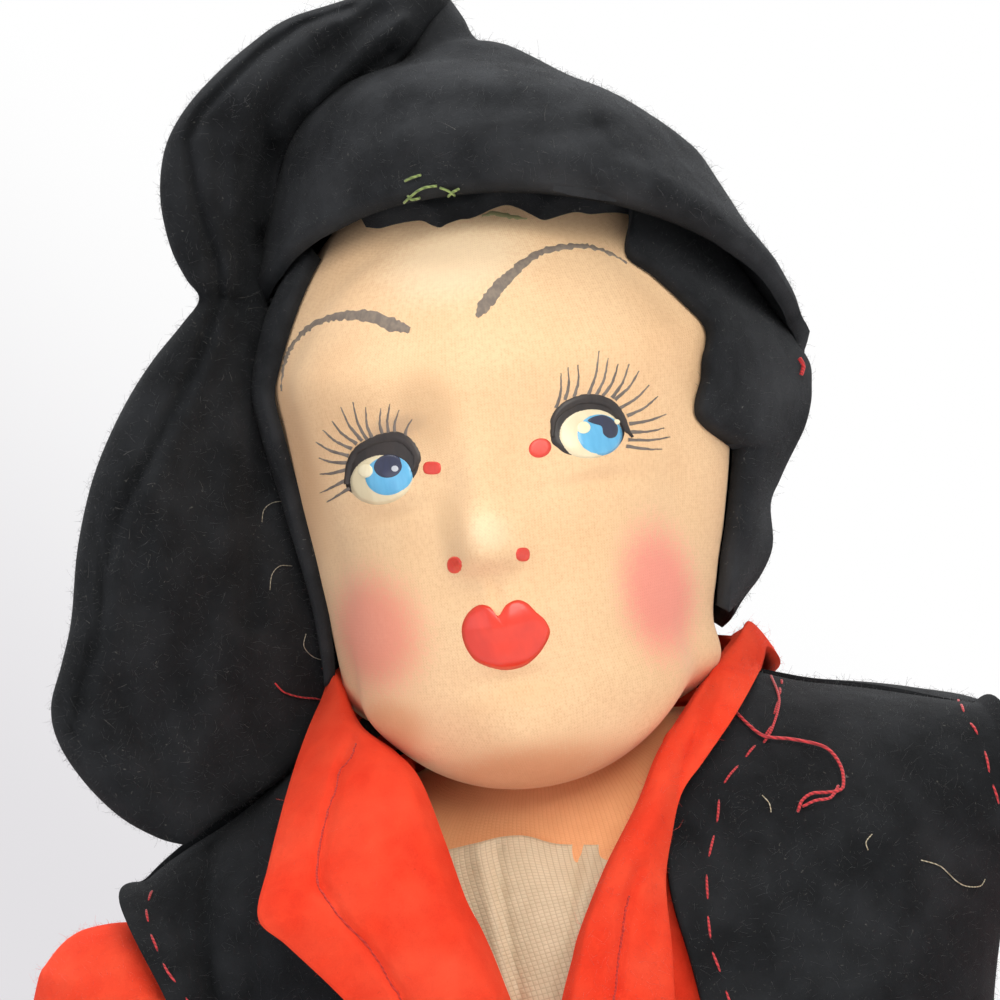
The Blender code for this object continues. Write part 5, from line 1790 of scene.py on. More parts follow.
def cut_round(piece: Thing, centres: Sequence[Vector], radius: float) -> None:
    """Cut balls out of a piece for the sleeves to sit in.

    Args:
        piece: The piece; its mesh is replaced by the cut one.
        centres: The balls' centres.
        radius: Their radius.
    """
    for centre in centres:
        shape = bmesh.new()
        bmesh.ops.create_uvsphere(shape, u_segments=64, v_segments=40, radius=radius)
        bmesh.ops.translate(shape, vec=centre, verts=shape.verts)
        mesh = bpy.data.meshes.new("armhole")
        shape.to_mesh(mesh)
        shape.free()
        ball = bpy.data.objects.new("armhole", mesh)
        bpy.context.scene.collection.objects.link(ball)
        knife = piece.modifiers.new("armhole", "BOOLEAN")
        knife.operation = "DIFFERENCE"
        knife.solver = "EXACT"
        knife.object = ball
        graph = bpy.context.evaluated_depsgraph_get()
        made = bpy.data.meshes.new_from_object(piece.evaluated_get(graph))
        piece.modifiers.clear()
        piece.data = made
        bpy.data.objects.remove(ball)
    material = piece.data.materials[0]
    piece.data.materials.clear()
    piece.data.materials.append(material)
    piece.data.polygons.foreach_set("material_index", [0] * len(piece.data.polygons))


@dataclass(frozen=True)
class Wrap:
    """Cloth that lies on a torso between two heights and two edges."""

    name: str
    offset: float
    thickness: float
    bottom: float
    top: float
    start: Callable[[float], float]
    end: Callable[[float], float]
    columns: int = 120
    rows: int = 70
    creases: tuple[Crease, ...] = ()
    # How far the top edge dips, in millimetres, evenly from one edge to the other
    top_dip: tuple[float, ...] = (0.0, 0.0)

    def build(
        self, to_world: Matrix, material: Material, centres: Sequence[Vector] = ()
    ) -> Thing:
        """Build the cloth and cut its armholes.

        Args:
            to_world: Turns the torso's own places into the doll's.
            material: The cloth's finish.
            centres: The shoulders' centres in the torso's space.

        Returns:
            The piece, dressed over its CAD node.
        """
        low, high = TORSO.station_at(self.bottom), TORSO.station_at(self.top)

        def at(offset: float) -> Place:
            def point(across: float, up: float) -> Vector:
                first = self.start(up)
                angle = first + across * (self.end(up) - first)
                here = to_world @ TORSO.point(low + up * (high - low), angle, offset)
                dip = spline(self.top_dip, across * (len(self.top_dip) - 1)) * MM
                here.z -= max(dip, 0.0) * smooth_step(0.6, 1.0, up)
                if self.creases:
                    px, py = pixel_of(here)
                    here.y -= sum(crease.rise(px, py) for crease in self.creases)
                return here

            return point

        mesh = sheet_mesh(
            self.name, self.columns, self.rows, at(self.offset + self.thickness), at(self.offset)
        )
        piece = link(f"{self.name}_cloth", mesh, material)
        if centres:
            cut_round(piece, [to_world @ centre for centre in centres], SHOULDER_CLEAR)
        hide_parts(self.name)
        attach(piece, Body.ROOT.value)
        return piece


@dataclass(frozen=True)
class VestPanel:
    """One panel of the waistcoat, drawn out over the top of the sleeves.

    Its four edges are rows of station number and angle in degrees on the body.
    """

    name: str
    bottom: tuple[Pixel, ...]
    top: tuple[Pixel, ...]
    first: tuple[Pixel, ...]
    last: tuple[Pixel, ...]
    first_pull: bool
    last_pull: bool
    swell: Callable[[Vector], float]
    offset: float = 4.2 * MM
    thickness: float = 1.7 * MM
    clear: float = 14.5 * MM
    left_clear: float = 12.1 * MM
    # The left shoulder's line rises this much for each millimetre nearer the neck
    left_tilt: float = 0.0835
    tilt_from: float = 40 * MM
    neck_rise: float = 3.4 * MM
    shoulder_drop: float = 1.4 * MM
    # How far each armhole is drawn out over its sleeve, in millimetres, from the hem up
    left_pulls: tuple[float, ...] = (0, 0, 1, 3, 5, 6, 5, 2.5)
    right_pulls: tuple[float, ...] = (0, 0, 2, 6, 8.5, 9, 7.5, 6)

    def station_and_angle(self, across: float, up: float) -> Pixel:
        """Blend the four edges."""
        made = []
        for axis in (0, 1):
            low = spline_row(self.bottom, across)[axis]
            high = spline_row(self.top, across)[axis]
            near = spline_row(self.first, up)[axis]
            far = spline_row(self.last, up)[axis]
            corners = (
                self.bottom[0][axis] * (1 - across) * (1 - up) + self.bottom[-1][axis] * across * (1 - up)
                + self.top[0][axis] * (1 - across) * up + self.top[-1][axis] * across * up
            )
            made.append(low * (1 - up) + high * up + near * (1 - across) + far * across - corners)
        return (made[0], made[1])

    def place(self, across: float, up: float, behind: float) -> Vector:
        """Give the panel's place, behind its front by the given depth."""
        station, angle = self.station_and_angle(across, up)
        here = TORSO.point(min(station, TORSO.last), math.radians(angle), self.offset + self.thickness - behind)
        side = math.copysign(1.0, here.x)
        pulls = self.left_pulls if side > 0 else self.right_pulls
        pull = spline(pulls, up * (len(pulls) - 1)) * MM
        share = 0.0
        if self.first_pull:
            share += smooth_step(0.45, 0.0, across)
        if self.last_pull:
            share += smooth_step(0.55, 1.0, across)
        here.x += side * pull * share
        if side > 0:
            drop = self.shoulder_drop * smooth_step(58 * MM, 46 * MM, here.x)
            drop += self.left_tilt * (here.x - self.tilt_from)
            here.z -= drop * smooth_step(0.62, 1.0, up)
        centre = Vector((side * SHOULDER.x, SHOULDER.y, SHOULDER.z))
        away = here - centre
        reach = (self.left_clear if side > 0 else self.clear) + self.thickness - behind
        if away.length < reach:
            here = centre + away.normalized() * reach
        if side < 0:
            here.z += self.neck_rise * smooth_step(0.62, 1.0, up) * smooth_step(44 * MM, 24 * MM, abs(here.x))
        here = UPPER_BODY @ here
        here.y -= self.swell(here)
        return here

    def build(self, material: Material) -> Thing:
        """Build the panel over its CAD node."""
        mesh = sheet_mesh(
            self.name, 84, 76, lambda across, up: self.place(across, up, 0.0), lambda across,
            up: self.place(across, up, self.thickness)
        )
        piece = link(f"{self.name}_felt", mesh, material)
        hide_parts(self.name)
        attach(piece, Body.ROOT.value)
        return piece


def turned(angles: Sequence[float]) -> Callable[[float], float]:
    """Give an edge's angle at a share of the height from a table in degrees."""
    return lambda up: math.radians(spline(angles, up * (len(angles) - 1)))


def both_shoulders(centre: Vector) -> list[Vector]:
    """Give the shoulder's centre and its mirror image."""
    return [centre, Vector((-centre.x, centre.y, centre.z))]


def fuzzed(
    piece: Thing, seed: int, material: Material, body: Body,
    per_square_cm: float = 110, front_share: float = 0.5
) -> None:
    """Grow fibres on a piece that ride with it."""
    fuzz = Fuzz(seed, per_square_cm, front_share=front_share).build(f"{piece.name}_fuzz", piece, material)
    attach(fuzz, body.value)


@dataclass
class Arm:
    """One stuffed arm with its sleeve."""

    prefix: str
    word: str
    side: int
    body: Body
    centre: Vector
    spread: float
    to_world: Matrix
    cloth: Material
    sleeve: Material
    sleeve_slot: str
    length: float = 88.0 * MM
    radius: float = 11.5 * MM
    # Distance along the arm, half width, half depth
    shares: tuple[tuple[float, float, float], ...] = (
        (-0.1307, 0.00, 0.00), (-0.1000, 0.64, 0.64), (-0.0500, 0.92, 0.92), (0.0000, 1.00, 1.00),
        (0.1800, 1.00, 0.98), (0.3500, 0.93, 0.92), (0.5200, 0.84, 0.82), (0.6600, 0.70, 0.66),
        (0.7600, 0.82, 0.60), (0.8700, 0.80, 0.52), (0.9600, 0.52, 0.38), (1.0000, 0.00, 0.00)
    )
    cuff_station: float = 6.75
    felt: float = 1.6 * MM
    # The share that the shoulder's stuffing is thinner under the waistcoat
    slim: float = 0.0

    def matrix(self) -> Matrix:
        """Give the arm's own space in the doll's."""
        place = Vector((self.side * self.centre.x, self.centre.y, self.centre.z))
        turn = Matrix.Rotation(-self.side * self.spread, 4, "Y")
        return self.to_world @ Matrix.Translation(place) @ turn

    def place(self, station: float, angle: float, offset: float = 0.0) -> Vector:
        """Give a place on the arm or outside it."""
        along, wide, deep = (spline(column, station) for column in zip(*self.shares))
        thin = 1 - self.slim * smooth_step(0.16, -0.02, along)
        along *= thin if along < 0 else 1.0
        wide *= thin
        deep *= thin
        wide = max(wide, 0.0) * self.radius + offset * min(1.0, 3 * max(wide, 0.0))
        deep = max(deep, 0.0) * self.radius + offset * min(1.0, 3 * max(deep, 0.0))
        rise = offset if wide <= offset * 1.01 and station < 1 else 0.0
        return Vector((wide * math.sin(angle), -deep * math.cos(angle), rise - along * self.length))

    def build(self) -> tuple[Thing, Thing]:
        """Build the arm with stitched fingers and the sleeve with soft folds."""
        matrix = self.matrix()
        last = len(self.shares) - 1

        def skin(around: float, down: float) -> Vector:
            station = last * down
            angle = math.tau * around
            here = self.place(station, angle)
            if station > 8.2:
                grooves = abs(math.sin(math.pi * (here.x / self.radius) * 2.4)) ** 0.5
                here.y *= 0.82 + 0.18 * grooves
            return matrix @ (here * (1 + ripple(here, 9 * MM, 0.006)))

        def sleeve_at(offset: float) -> Place:
            def place(around: float, down: float) -> Vector:
                station = self.cuff_station * down
                flare = 1.6 * MM * down**2
                here = self.place(station, math.tau * around, offset + flare)
                fold = ripple(here, 11 * MM, 0.5 * MM, 3.0) + ripple(here, 5 * MM, 0.2 * MM, 8.0)
                elbow = 0.5 * MM * math.sin(here.z / (3.4 * MM)) * math.exp(-((here.z / MM + 44) / 9) ** 2)
                fold = (fold + elbow) * smooth_step(0.0, 0.12, down)
                return matrix @ (here + Vector((here.x, here.y, 0)).normalized() * fold)

            return place

        arm_name = f"{self.prefix}_arm_{self.word}"
        arm = link(f"{arm_name}_cloth", sheet_mesh(arm_name, 48, 90, skin, closed=True), self.cloth)
        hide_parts(arm_name)
        name = f"{self.prefix}_sleeve_{self.word}"
        mesh = sheet_mesh(name, 72, 80, sleeve_at(2.0 * MM), sleeve_at(0.4 * MM), closed=True)
        sleeve = link(f"{name}_cloth", mesh, self.sleeve)
        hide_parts(name)
        for piece in (arm, sleeve):
            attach(piece, self.body.value)
        return arm, sleeve


class Bed:
    """The smoothed depth of what a flap lies on, on a lattice of picture points."""

    cell = 4
    spread = 2
    far = 20 * MM

    def __init__(self, tree: BVHTree) -> None:
        """Keep the surfaces to be met."""
        self.tree = tree
        self.depths: dict[tuple[int, int], float] = {}
        self.nearest: dict[tuple[int, int], float] = {}
        self.means: dict[tuple[int, int], float] = {}

    def depth(self, column: int, row: int) -> float:
        """Give the bare surface's depth at a lattice point."""
        key = (column, row)
        if key not in self.depths:
            ray = VIEW.ray(column * self.cell, row * self.cell).normalized()
            hit = self.tree.ray_cast(VIEW.eye, ray)[0]
            self.depths[key] = self.far if hit is None else min(hit.y, self.far)
        return self.depths[key]

    def around(self, column: int, row: int) -> list[tuple[int, int]]:
        """List the lattice points close to one."""
        reach = range(-self.spread, self.spread + 1)
        return [(column + i, row + j) for i in reach for j in reach]

    def mean(self, column: int, row: int) -> float:
        """Give the mean of the nearest depths round a lattice point."""
        key = (column, row)
        if key not in self.means:
            total = 0.0
            near = self.around(column, row)
            for point in near:
                if point not in self.nearest:
                    self.nearest[point] = min(self.depth(*one) for one in self.around(*point))
                total += self.nearest[point]
            self.means[key] = total / len(near)
        return self.means[key]

    def at(self, px: float, py: float) -> float:
        """Give the smoothed depth at a pixel."""
        across, down = px / self.cell, py / self.cell
        column, row = math.floor(across), math.floor(down)
        u, v = across - column, down - row
        top = self.mean(column, row) * (1 - u) + self.mean(column + 1, row) * u
        low = self.mean(column, row + 1) * (1 - u) + self.mean(column + 1, row + 1) * u
        return top * (1 - v) + low * v


@dataclass
class ShirtCollar:
    """The turned-down collar of red felt: two flaps that roll over round the neck."""

    felt: Material
    # The dark-red thread finish of the painted crease shade
    thread: Material
    thickness: float = 1.9 * MM
    # Rows of inner edge then outer edge, each pixel across, pixel down, depth in millimetres
    right_rows: tuple[tuple[float, ...], ...] = (
        (524, 1085, -29.5, 400, 1092, -29.0), (520, 1030, -29.5, 380, 1040, -29.5),
        (500, 972, -29.0, 335, 991, -29.5), (483, 932, -28.0, 287, 946, -28.0),
        (466, 899, -27.0, 258, 918, -26.5), (446, 844, -25.0, 268, 866, -22.0),
        (421, 781, -21.0, 284, 802, -15.5), (396, 752, -16.5, 300, 750, -9.0),
        (362, 726, -10.0, 318, 706, -3.0), (346, 690, -1.0, 333, 684, 4.0)
    )
    left_rows: tuple[tuple[float, ...], ...] = (
        (548, 1085, -29.5, 668, 1092, -29.0), (556, 1030, -29.5, 677, 1040, -29.5),
        (564, 991, -29.0, 675, 1000, -29.0), (572, 960, -28.5, 672, 946, -28.0),
        (580, 930, -28.0, 666, 883, -26.5), (605, 867, -26.0, 672, 835, -25.0),
        (637, 803, -22.0, 682, 793, -22.0), (656, 755, -18.0, 704, 761, -17.0),
        (679, 717, -13.0, 736, 714, -9.0), (716, 662, -5.0, 761, 668, -1.0), (742, 634, 2.0, 768, 647, 5.0)
    )
    # Behind the neck, in millimetres in the upper body's space, inner edge then outer edge
    nape_rows: tuple[tuple[float, ...], ...] = (
        (22.5, 10.0, 88.0, 28.0, 14.5, 83.0), (13.0, 21.0, 86.0, 16.5, 27.0, 80.0),
        (0.35, 24.6, 85.0, 0.35, 31.6, 78.0)
    )
    creases: tuple[Crease, ...] = (
        Crease(((352, 742), (338, 770), (326, 820), (318, 860), (318, 880), (338, 914), (367, 946), (389, 978), (410, 1010)), -1.0, 6.0),
        Crease(((372, 770), (360, 830), (365, 880), (400, 930)), 0.5, 20.0),
        Crease(((290, 830), (276, 900)), 0.4, 14.0),
        Crease(((640, 870), (629, 899), (622, 940), (616, 991)), -0.9, 6.5),
        Crease(((700, 720), (672, 770), (650, 830)), 0.6, 12.0),
        Crease(((728, 690), (700, 735), (672, 780)), -0.3, 8.0),
    )

    # The pixels along each half's fold, where a dark line of painted shade lies
    right_crease_line: tuple[Pixel, ...] = (
        (356, 744), (352, 756), (340, 772), (336, 790), (328, 812), (322, 836), (318, 860), (318, 884),
        (330, 904), (346, 924), (366, 944), (380, 964), (390, 982), (404, 1004), (418, 1030)
    )
    left_crease_line: tuple[Pixel, ...] = (
        (629, 896), (625, 912), (622, 936), (618, 960), (616, 984), (612, 1010), (606, 1040)
    )

    def build_crease_line(self, word: str, half: Thing) -> None:
        """Lay a thin dark-red tube along the fold of one half: painted shade in the crease, a dark, wavering line."""
        tree = surface_tree(half)
        points = []
        line = self.left_crease_line if word == "left" else self.right_crease_line
        for k in range(121):
            px, py = spline_row(line, k / 120)
            px += 1.6 * noise.noise(Vector((k * 0.35, 3.0, 0.0)))
            hit, _, _, _ = tree.ray_cast(VIEW.eye, VIEW.ray(px, py).normalized())
            if hit is not None:
                points.append(hit + Vector((0, -0.04 * MM, 0)))
        shape = bmesh.new()
        radii = [(0.13 + 0.09 * noise.noise(Vector((k * 0.3, 9.0, 0.0)))) * MM for k in range(len(points))]
        add_tube(shape, points, radii, 6)
        mesh = bpy.data.meshes.new(f"collar_{word}_seam")
        shape.to_mesh(mesh)
        shape.free()
        piece = link(mesh.name, mesh, self.thread)
        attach(piece, Body.ROOT.value)

    def rows(self, side: int) -> list[tuple[Vector, Vector]]:
        """Give the inner and outer edge of one half, from its corner round to the nape."""
        made = []
        for ax, ay, az, bx, by, bz in self.left_rows if side > 0 else self.right_rows:
            made.append((VIEW.point(ax, ay, az * MM), VIEW.point(bx, by, bz * MM)))
        for ax, ay, az, bx, by, bz in self.nape_rows:
            first = UPPER_BODY @ (Vector((side * ax, ay, az)) * MM)
            made.append((first, UPPER_BODY @ (Vector((side * bx, by, bz)) * MM)))
        return made

    def build(self, under: Sequence[Thing]) -> list[Thing]:
        """Build both halves so that they lie on what is under them.

        Args:
            under: The waistcoat and shirt pieces that carry the collar.

        Returns:
            Both halves.
        """
        bed = Bed(surface_tree(*under))
        made = []
        for side, word in ((-1, "right"), (1, "left")):
            rows = self.rows(side)
            firsts = [tuple(first) for first, _ in rows]
            seconds = [tuple(second) for _, second in rows]
            clear = self.thickness + 0.5 * MM

            def middle(along: float, out: float) -> Vector:
                first = Vector(spline_row(firsts, along))
                second = Vector(spline_row(seconds, along))
                here = first.lerp(second, out)
                front = smooth_step(6 * MM, -6 * MM, here.y)
                rolled = (1 - smooth_step(0.0, 0.13, out)) ** 2 * (1.2 + 1.6 * front) * MM
                crown = 2.4 * MM * math.sin(math.pi * out) ** 0.8
                here += Vector((0, -front, 0.35 + 0.5 * (1 - front))).normalized() * crown
                away = Vector((here.x, (here.y - 3 * MM), 0)).normalized()
                here += (Vector((0, 1, 0)) * front - away * (1 - front)) * rolled
                here += Vector((0, -1, 0)) * (ripple(here, 14 * MM, 0.7 * MM, 4.0) + 1.9 * MM * (1 - out)) * front
                px, py = pixel_of(here)
                if front > 0:
                    here.y -= front * sum(crease.rise(px, py) for crease in self.creases)
                    depth = bed.at(px, py) - clear
                    if here.y > depth:
                        here = VIEW.point(px, py, depth)
                return here

            inside = thickened(middle, self.thickness, UPPER_BODY @ Vector((0, 3 * MM, 50 * MM)))

            def below(along: float, out: float) -> Vector:
                here = middle(along, out)
                front = smooth_step(6 * MM, -6 * MM, here.y)
                straight = here + (here - VIEW.eye).normalized() * self.thickness
                return straight if front == 1 else inside(along, out).lerp(straight, front)

            mesh = sheet_mesh(f"upper_collar_{word}", 124, 44, middle, below)
            piece = link(f"upper_collar_{word}_felt", mesh, self.felt)
            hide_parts(f"upper_collar_{word}")
            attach(piece, Body.ROOT.value)
            made.append(piece)
            self.build_crease_line(word, piece)
        LOG.info("shirt collar: two halves")
        return made


@dataclass
class Torso:
    """A stuffed muslin body."""

    prefix: str
    to_world: Matrix
    cloth: Material

    def build(self) -> Thing:
        """Build the body with a few soft dents of its stuffing."""

        def place(around: float, up: float) -> Vector:
            share = (up - 0.04) / 0.92
            station = min(max(share, 0.0), 1.0) * TORSO.last
            here = TORSO.surface(station, math.tau * around)
            inset = 1.0 if 0 <= share <= 1 else 0.02
            here = Vector((here.x * inset, TORSO.top_shift * up + (here.y - TORSO.top_shift * up) * inset, here.z))
            here.z = max(here.z, 0.2 * MM)
            return self.to_world @ (here + Vector((0, 1, 0)) * ripple(here, 14 * MM, 0.25 * MM))

        name = f"{self.prefix}_torso"
        piece = link(f"{name}_cloth", sheet_mesh(name, 72, 60, place, closed=True), self.cloth)
        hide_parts(name)
        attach(piece, Body.ROOT.value)
        return piece


@dataclass
class Skirt:
    """The gathered skirt that hides the lower half doll: black felt outside, red cotton in."""

    outer: Material
    lining: Material
    band: Material
    fuzz: Material
    length: float = 185.0 * MM
    half_width: float = 100.0 * MM
    half_depth: float = 90.0 * MM
    fold_depth: float = 5.0 * MM
    folds: int = 10
    # Distance down, half width, half depth, fold depth
    shares: tuple[tuple[float, ...], ...] = (
        (0.00, 0.378, 0.306, 0.03), (0.05, 0.380, 0.309, 0.04), (0.10, 0.388, 0.318, 0.08),
        (0.16, 0.600, 0.520, 0.30), (0.26, 0.780, 0.690, 0.50), (0.42, 0.870, 0.810, 0.70),
        (0.62, 0.930, 0.895, 0.85), (0.82, 0.970, 0.955, 0.95), (1.00, 1.000, 1.000, 1.00)
    )

    def at(self, depth: float, hem: float) -> Place:
        """Give the surface that lies a depth inside the skirt's outside."""

        def place(around: float, up: float) -> Vector:
            station = (len(self.shares) - 1) * (1 - up)
            down, wide, deep, fold = (spline(column, station) for column in zip(*self.shares))
            angle = math.tau * around
            lean = 0.10 * math.sin(3 * angle) * (1 - up)
            wave = self.fold_depth * fold * math.cos(self.folds * (angle + lean))
            wave += 0.9 * MM * (1 - up) * math.sin(2 * self.folds * angle + 1.3)
            gather = 0.5 * MM * smooth_step(0.80, 0.93, up) * math.sin(7 * self.folds * angle)
            away = Vector((math.sin(angle), -math.cos(angle), 0.0))
            here = Vector(
                (
                    self.half_width * wide * math.sin(angle), -self.half_depth * deep * math.cos(angle),
                    max(self.length * (1 - down), hem)
                )
            )
            wave = min(wave, self.fold_depth * fold) + gather - 0.6 * MM * (1 - up)
            return here + away * (wave - depth + ripple(here, 26 * MM, 0.5 * MM, 1.0))

        return place

    def build(self) -> None:
        """Build both plies, the waistband and the fibres on the felt."""
        felt = 1.6 * MM
        outside = self.at(0.0, 0.0)
        mesh = sheet_mesh("skirt_outer", 400, 70, outside, self.at(felt, 0.0), closed=True)
        skirt = link("skirt_outer_felt", mesh, self.outer)
        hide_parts("skirt_outer")
        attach(skirt, Body.ROOT.value)
        mesh = sheet_mesh(
            "skirt_lining", 360, 60, self.at(felt + 0.5 * MM, 2.0 * MM), self.at(felt + 1.4 * MM, 2.0 * MM),
            closed=True
        )
        lining = link("skirt_lining_cloth", mesh, self.lining)
        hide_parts("skirt_lining")
        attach(lining, Body.ROOT.value)
        self.build_band()
        fuzz = Fuzz(71, 14, 1.1 * MM).build("skirt_outer_fuzz", skirt, self.fuzz)
        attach(fuzz, Body.ROOT.value)
        LOG.info("skirt: two plies and waistband")

    def build_band(self) -> None:
        """Build the felt waistband with its gathered edge."""
        wide = self.half_width * 0.378 + 0.45 * MM
        deep = self.half_depth * 0.306 + 0.45 * MM

        def at(offset: float) -> Place:
            def place(around: float, up: float) -> Vector:
                angle = math.tau * around
                rise = 9.5 * MM * (2 * up - 1)
                soft = 0.35 * MM * math.sin(angle * 9) + 0.3 * MM * math.sin(angle * 23 + 1)
                crown = 0.8 * MM * math.sin(math.pi * up)
                spread = offset + 1.2 * MM * (1 - up) + (soft * 0.5 + crown - 0.4 * MM if offset else 0.0)
                return Vector(
                    (
                        (wide + spread) * math.sin(angle), -(deep + spread) * math.cos(angle),
                        WAIST_HEIGHT + rise
                    )
                )

            return place

        mesh = sheet_mesh("waistband", 160, 16, at(2.0 * MM), at(0.0), closed=True)
        band = link("waistband_felt", mesh, self.band)
        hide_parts("waistband")
        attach(band, Body.ROOT.value)


@dataclass
class Kerchief:
    """The lower half doll's cotton kerchief, tied close over the hair."""

    cloth: Material
    thickness: float = 1.2 * MM

    def build(self, under: Sequence[Thing]) -> None:
        """Build the kerchief over the lower head.

        Args:
            under: The pieces that it lies on.
        """
        tree = surface_tree(*under)
        centre = LOWER_HEAD @ Vector((0, 0, 0))

        def outer(around: float, up: float) -> Vector:
            longitude = math.tau * around
            low = math.radians(32 + 32 * math.cos(longitude))
            way = direction(longitude, low + up * (math.pi / 2 - low))
            pleat = 0.35 * MM * math.sin(9 * longitude) * math.sin(math.pi * up)
            here = MOULD.place(way, 4.6 * MM + pleat + ripple(way * 0.03, 9 * MM, 0.4 * MM))
            return pushed_out(LOWER_HEAD @ here, centre, [tree], self.thickness + 0.3 * MM)

        def inner(around: float, up: float) -> Vector:
            here = outer(around, up)
            return here - (here - centre).normalized() * self.thickness

        mesh = sheet_mesh("lower_kerchief", 110, 44, outer, inner, closed=True)
        piece = link("lower_kerchief_cloth", mesh, self.cloth)
        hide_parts("lower_kerchief")
        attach(piece, Body.LOWER_HEAD.value)


@dataclass
class UpperClothes:
    """What the upper half doll wears on its body: dickey, shirt, waistcoat and collar."""

    black: Material
    black_fuzz: Material
    red: Material
    red_fuzz: Material
    silk: Material
    red_thread: Material
    silk_folds: tuple[Crease, ...] = (
        Crease(((497, 846), (502, 900), (512, 960), (524, 1030)), -0.45, 4.5),
        Crease(((478, 844), (488, 900), (500, 960), (512, 1030)), 0.55, 9.0),
        Crease(((579, 840), (571, 900), (564, 960), (558, 1030)), -0.45, 4.5),
        Crease(((594, 832), (584, 890), (574, 950)), 0.5, 8.0),
        Crease(((540, 850), (536, 920), (540, 1000)), 0.25, 14.0)
    )
    silk_dip: tuple[float, ...] = (
        0, 0, 0, 0, 0, 0, 0, 0, 0, 0.6, 2.4, 3.4, 4.1, 3.9, 2.9, 4.0, 4.6, 4.6, 4.6, 4.6, 4.6
    )
    # Each front edge's angle from the middle of the front in degrees, from the bottom up
    shirt_left: tuple[float, ...] = (-10, -10, -10, -4, 6, 14, 20, 44)
    shirt_right: tuple[float, ...] = (10.6, 10.6, 12, 20, 27, 32, 37, 52)
    vest_left: tuple[float, ...] = (14, 12, 11, 10, 13, 22, 34, 60)
    vest_right: tuple[float, ...] = (18, 20, 22, 22, 25, 33, 46, 66)

    def build(self) -> None:
        """Build the layers from the silk out, then the stitches and the stray fibres."""
        shoulders = both_shoulders(SHOULDER)
        dickey = Wrap(
            "upper_dickey", 0.6 * MM, 0.8 * MM, 0.30, 0.875, turned((-46, -46)), turned((36, 36)),
            creases=self.silk_folds, top_dip=self.silk_dip
        ).build(UPPER_BODY, self.silk)
        edge, other = turned(self.shirt_left), turned(self.shirt_right)
        shirt = Wrap(
            "upper_shirt", 2.0 * MM, 1.6 * MM, 0.02, 0.985, edge, lambda up: math.tau - other(up), 200
        ).build(UPPER_BODY, self.red, shoulders)
        vest = []
        folds = (
            Crease(((212, 845), (207, 900), (205, 960), (214, 1040)), -1.6, 8.0),
            Crease(((240, 850), (236, 920), (238, 1000)), 1.0, 14.0),
            Crease(((176, 872), (172, 930), (184, 1000)), 0.9, 14.0),
            Crease(((860, 700), (880, 800), (930, 900)), 0.6, 40.0),
            Crease(((760, 860), (800, 940), (850, 1000)), -0.5, 24.0)
        )

        def swell(place: Vector) -> float:
            front = smooth_step(2 * MM, -6 * MM, place.y)
            if not front:
                return 0.0
            px, py = pixel_of(place)
            waves = ripple(place, 16 * MM, 0.5 * MM, 6.0)
            return front * (waves + sum(fold.rise(px, py) for fold in folds))

        for panel in self.panels(swell):
            piece = panel.build(self.black)
            fuzzed(piece, len(piece.name), self.black_fuzz, Body.ROOT, 90)
            vest.append(piece)
        self.build_stitches(surface_tree(*vest))
        # A thin dark-red tube along each collar fold: painted shade in the crease
        seam = Thread("dark_red_seam", "D0301E", "A82014").material()
        for half in ShirtCollar(self.red, seam).build([shirt, *vest]):
            fuzzed(half, 5 + len(half.name), self.red_fuzz, Body.ROOT, 130)
        LOG.info("upper clothes: dickey, shirt, waistcoat and collar")

    def panels(self, swell: Callable[[Vector], float]) -> tuple[VestPanel, ...]:
        """Lay out the two fronts and the back by their edges on the body."""
        low, high = 1.0, 7.62
        seam = 0.6
        side = ((low, 90), (2.0, 90), (2.75, 90), (3.1, 82), (3.6, 72), (4.2, 68), (4.8, 75), (5.2, 90))
        shoulder = ((high, 60), (7.55, 78), (6.9, 88), (6.0, 90), (5.2, 90))
        steps = len(self.vest_left) - 1
        edge = tuple((low + (high - low) * k / steps, a) for k, a in enumerate(self.vest_left))
        other = tuple((low + (high - low) * k / steps, a) for k, a in enumerate(self.vest_right))

        def turned_to(rows: Sequence[Pixel], scale: float, start: float) -> tuple[Pixel, ...]:
            return tuple((station, start + scale * angle) for station, angle in rows)

        left_side = turned_to(side, 1, -seam)
        left_top = turned_to(shoulder, 1, -seam)
        left_back = turned_to(side, -1, 180 + seam)
        nape = ((5.2, 90 + seam), (6.6, 92), (7.55, 112), (high, 150), (high, 180))
        back_top = nape + tuple(reversed(turned_to(nape[:-1], -1, 360)))
        return (
            VestPanel(
                "upper_vest_left", (edge[0], left_side[0]), left_top, edge, left_side, False, True, swell
            ),
            VestPanel(
                "upper_vest_back", (left_back[0], turned_to(left_back[:1], -1, 360)[0]), back_top,
                left_back, turned_to(left_back, -1, 360), True, True, swell
            ),
            VestPanel(
                "upper_vest_right",
                (turned_to(left_side[:1], -1, 360)[0], turned_to(other[:1], -1, 360)[0]),
                tuple(reversed(turned_to(((high, 66), *left_top[1:]), -1, 360))),
                turned_to(left_side, -1, 360), turned_to(other, -1, 360), True, False, swell
            )
        )

    def build_stitches(self, tree: BVHTree) -> None:
        """Sew the waistcoat's red running stitches and leave its loose threads."""

        def traced(points: Sequence[Pixel], steps: int, lift: float = 0.0) -> list[Vector]:
            made = []
            for k in range(steps + 1):
                px, py = spline_row(points, k / steps)
                hit, _, _, _ = tree.ray_cast(VIEW.eye, VIEW.ray(px, py).normalized())
                if hit is not None:
                    made.append(hit + Vector((0, -lift, 0)))
            return made

        def outward(place: Vector) -> Vector:
            _, normal, _, _ = tree.find_nearest(place)
            return normal if normal.y < 0 else -normal

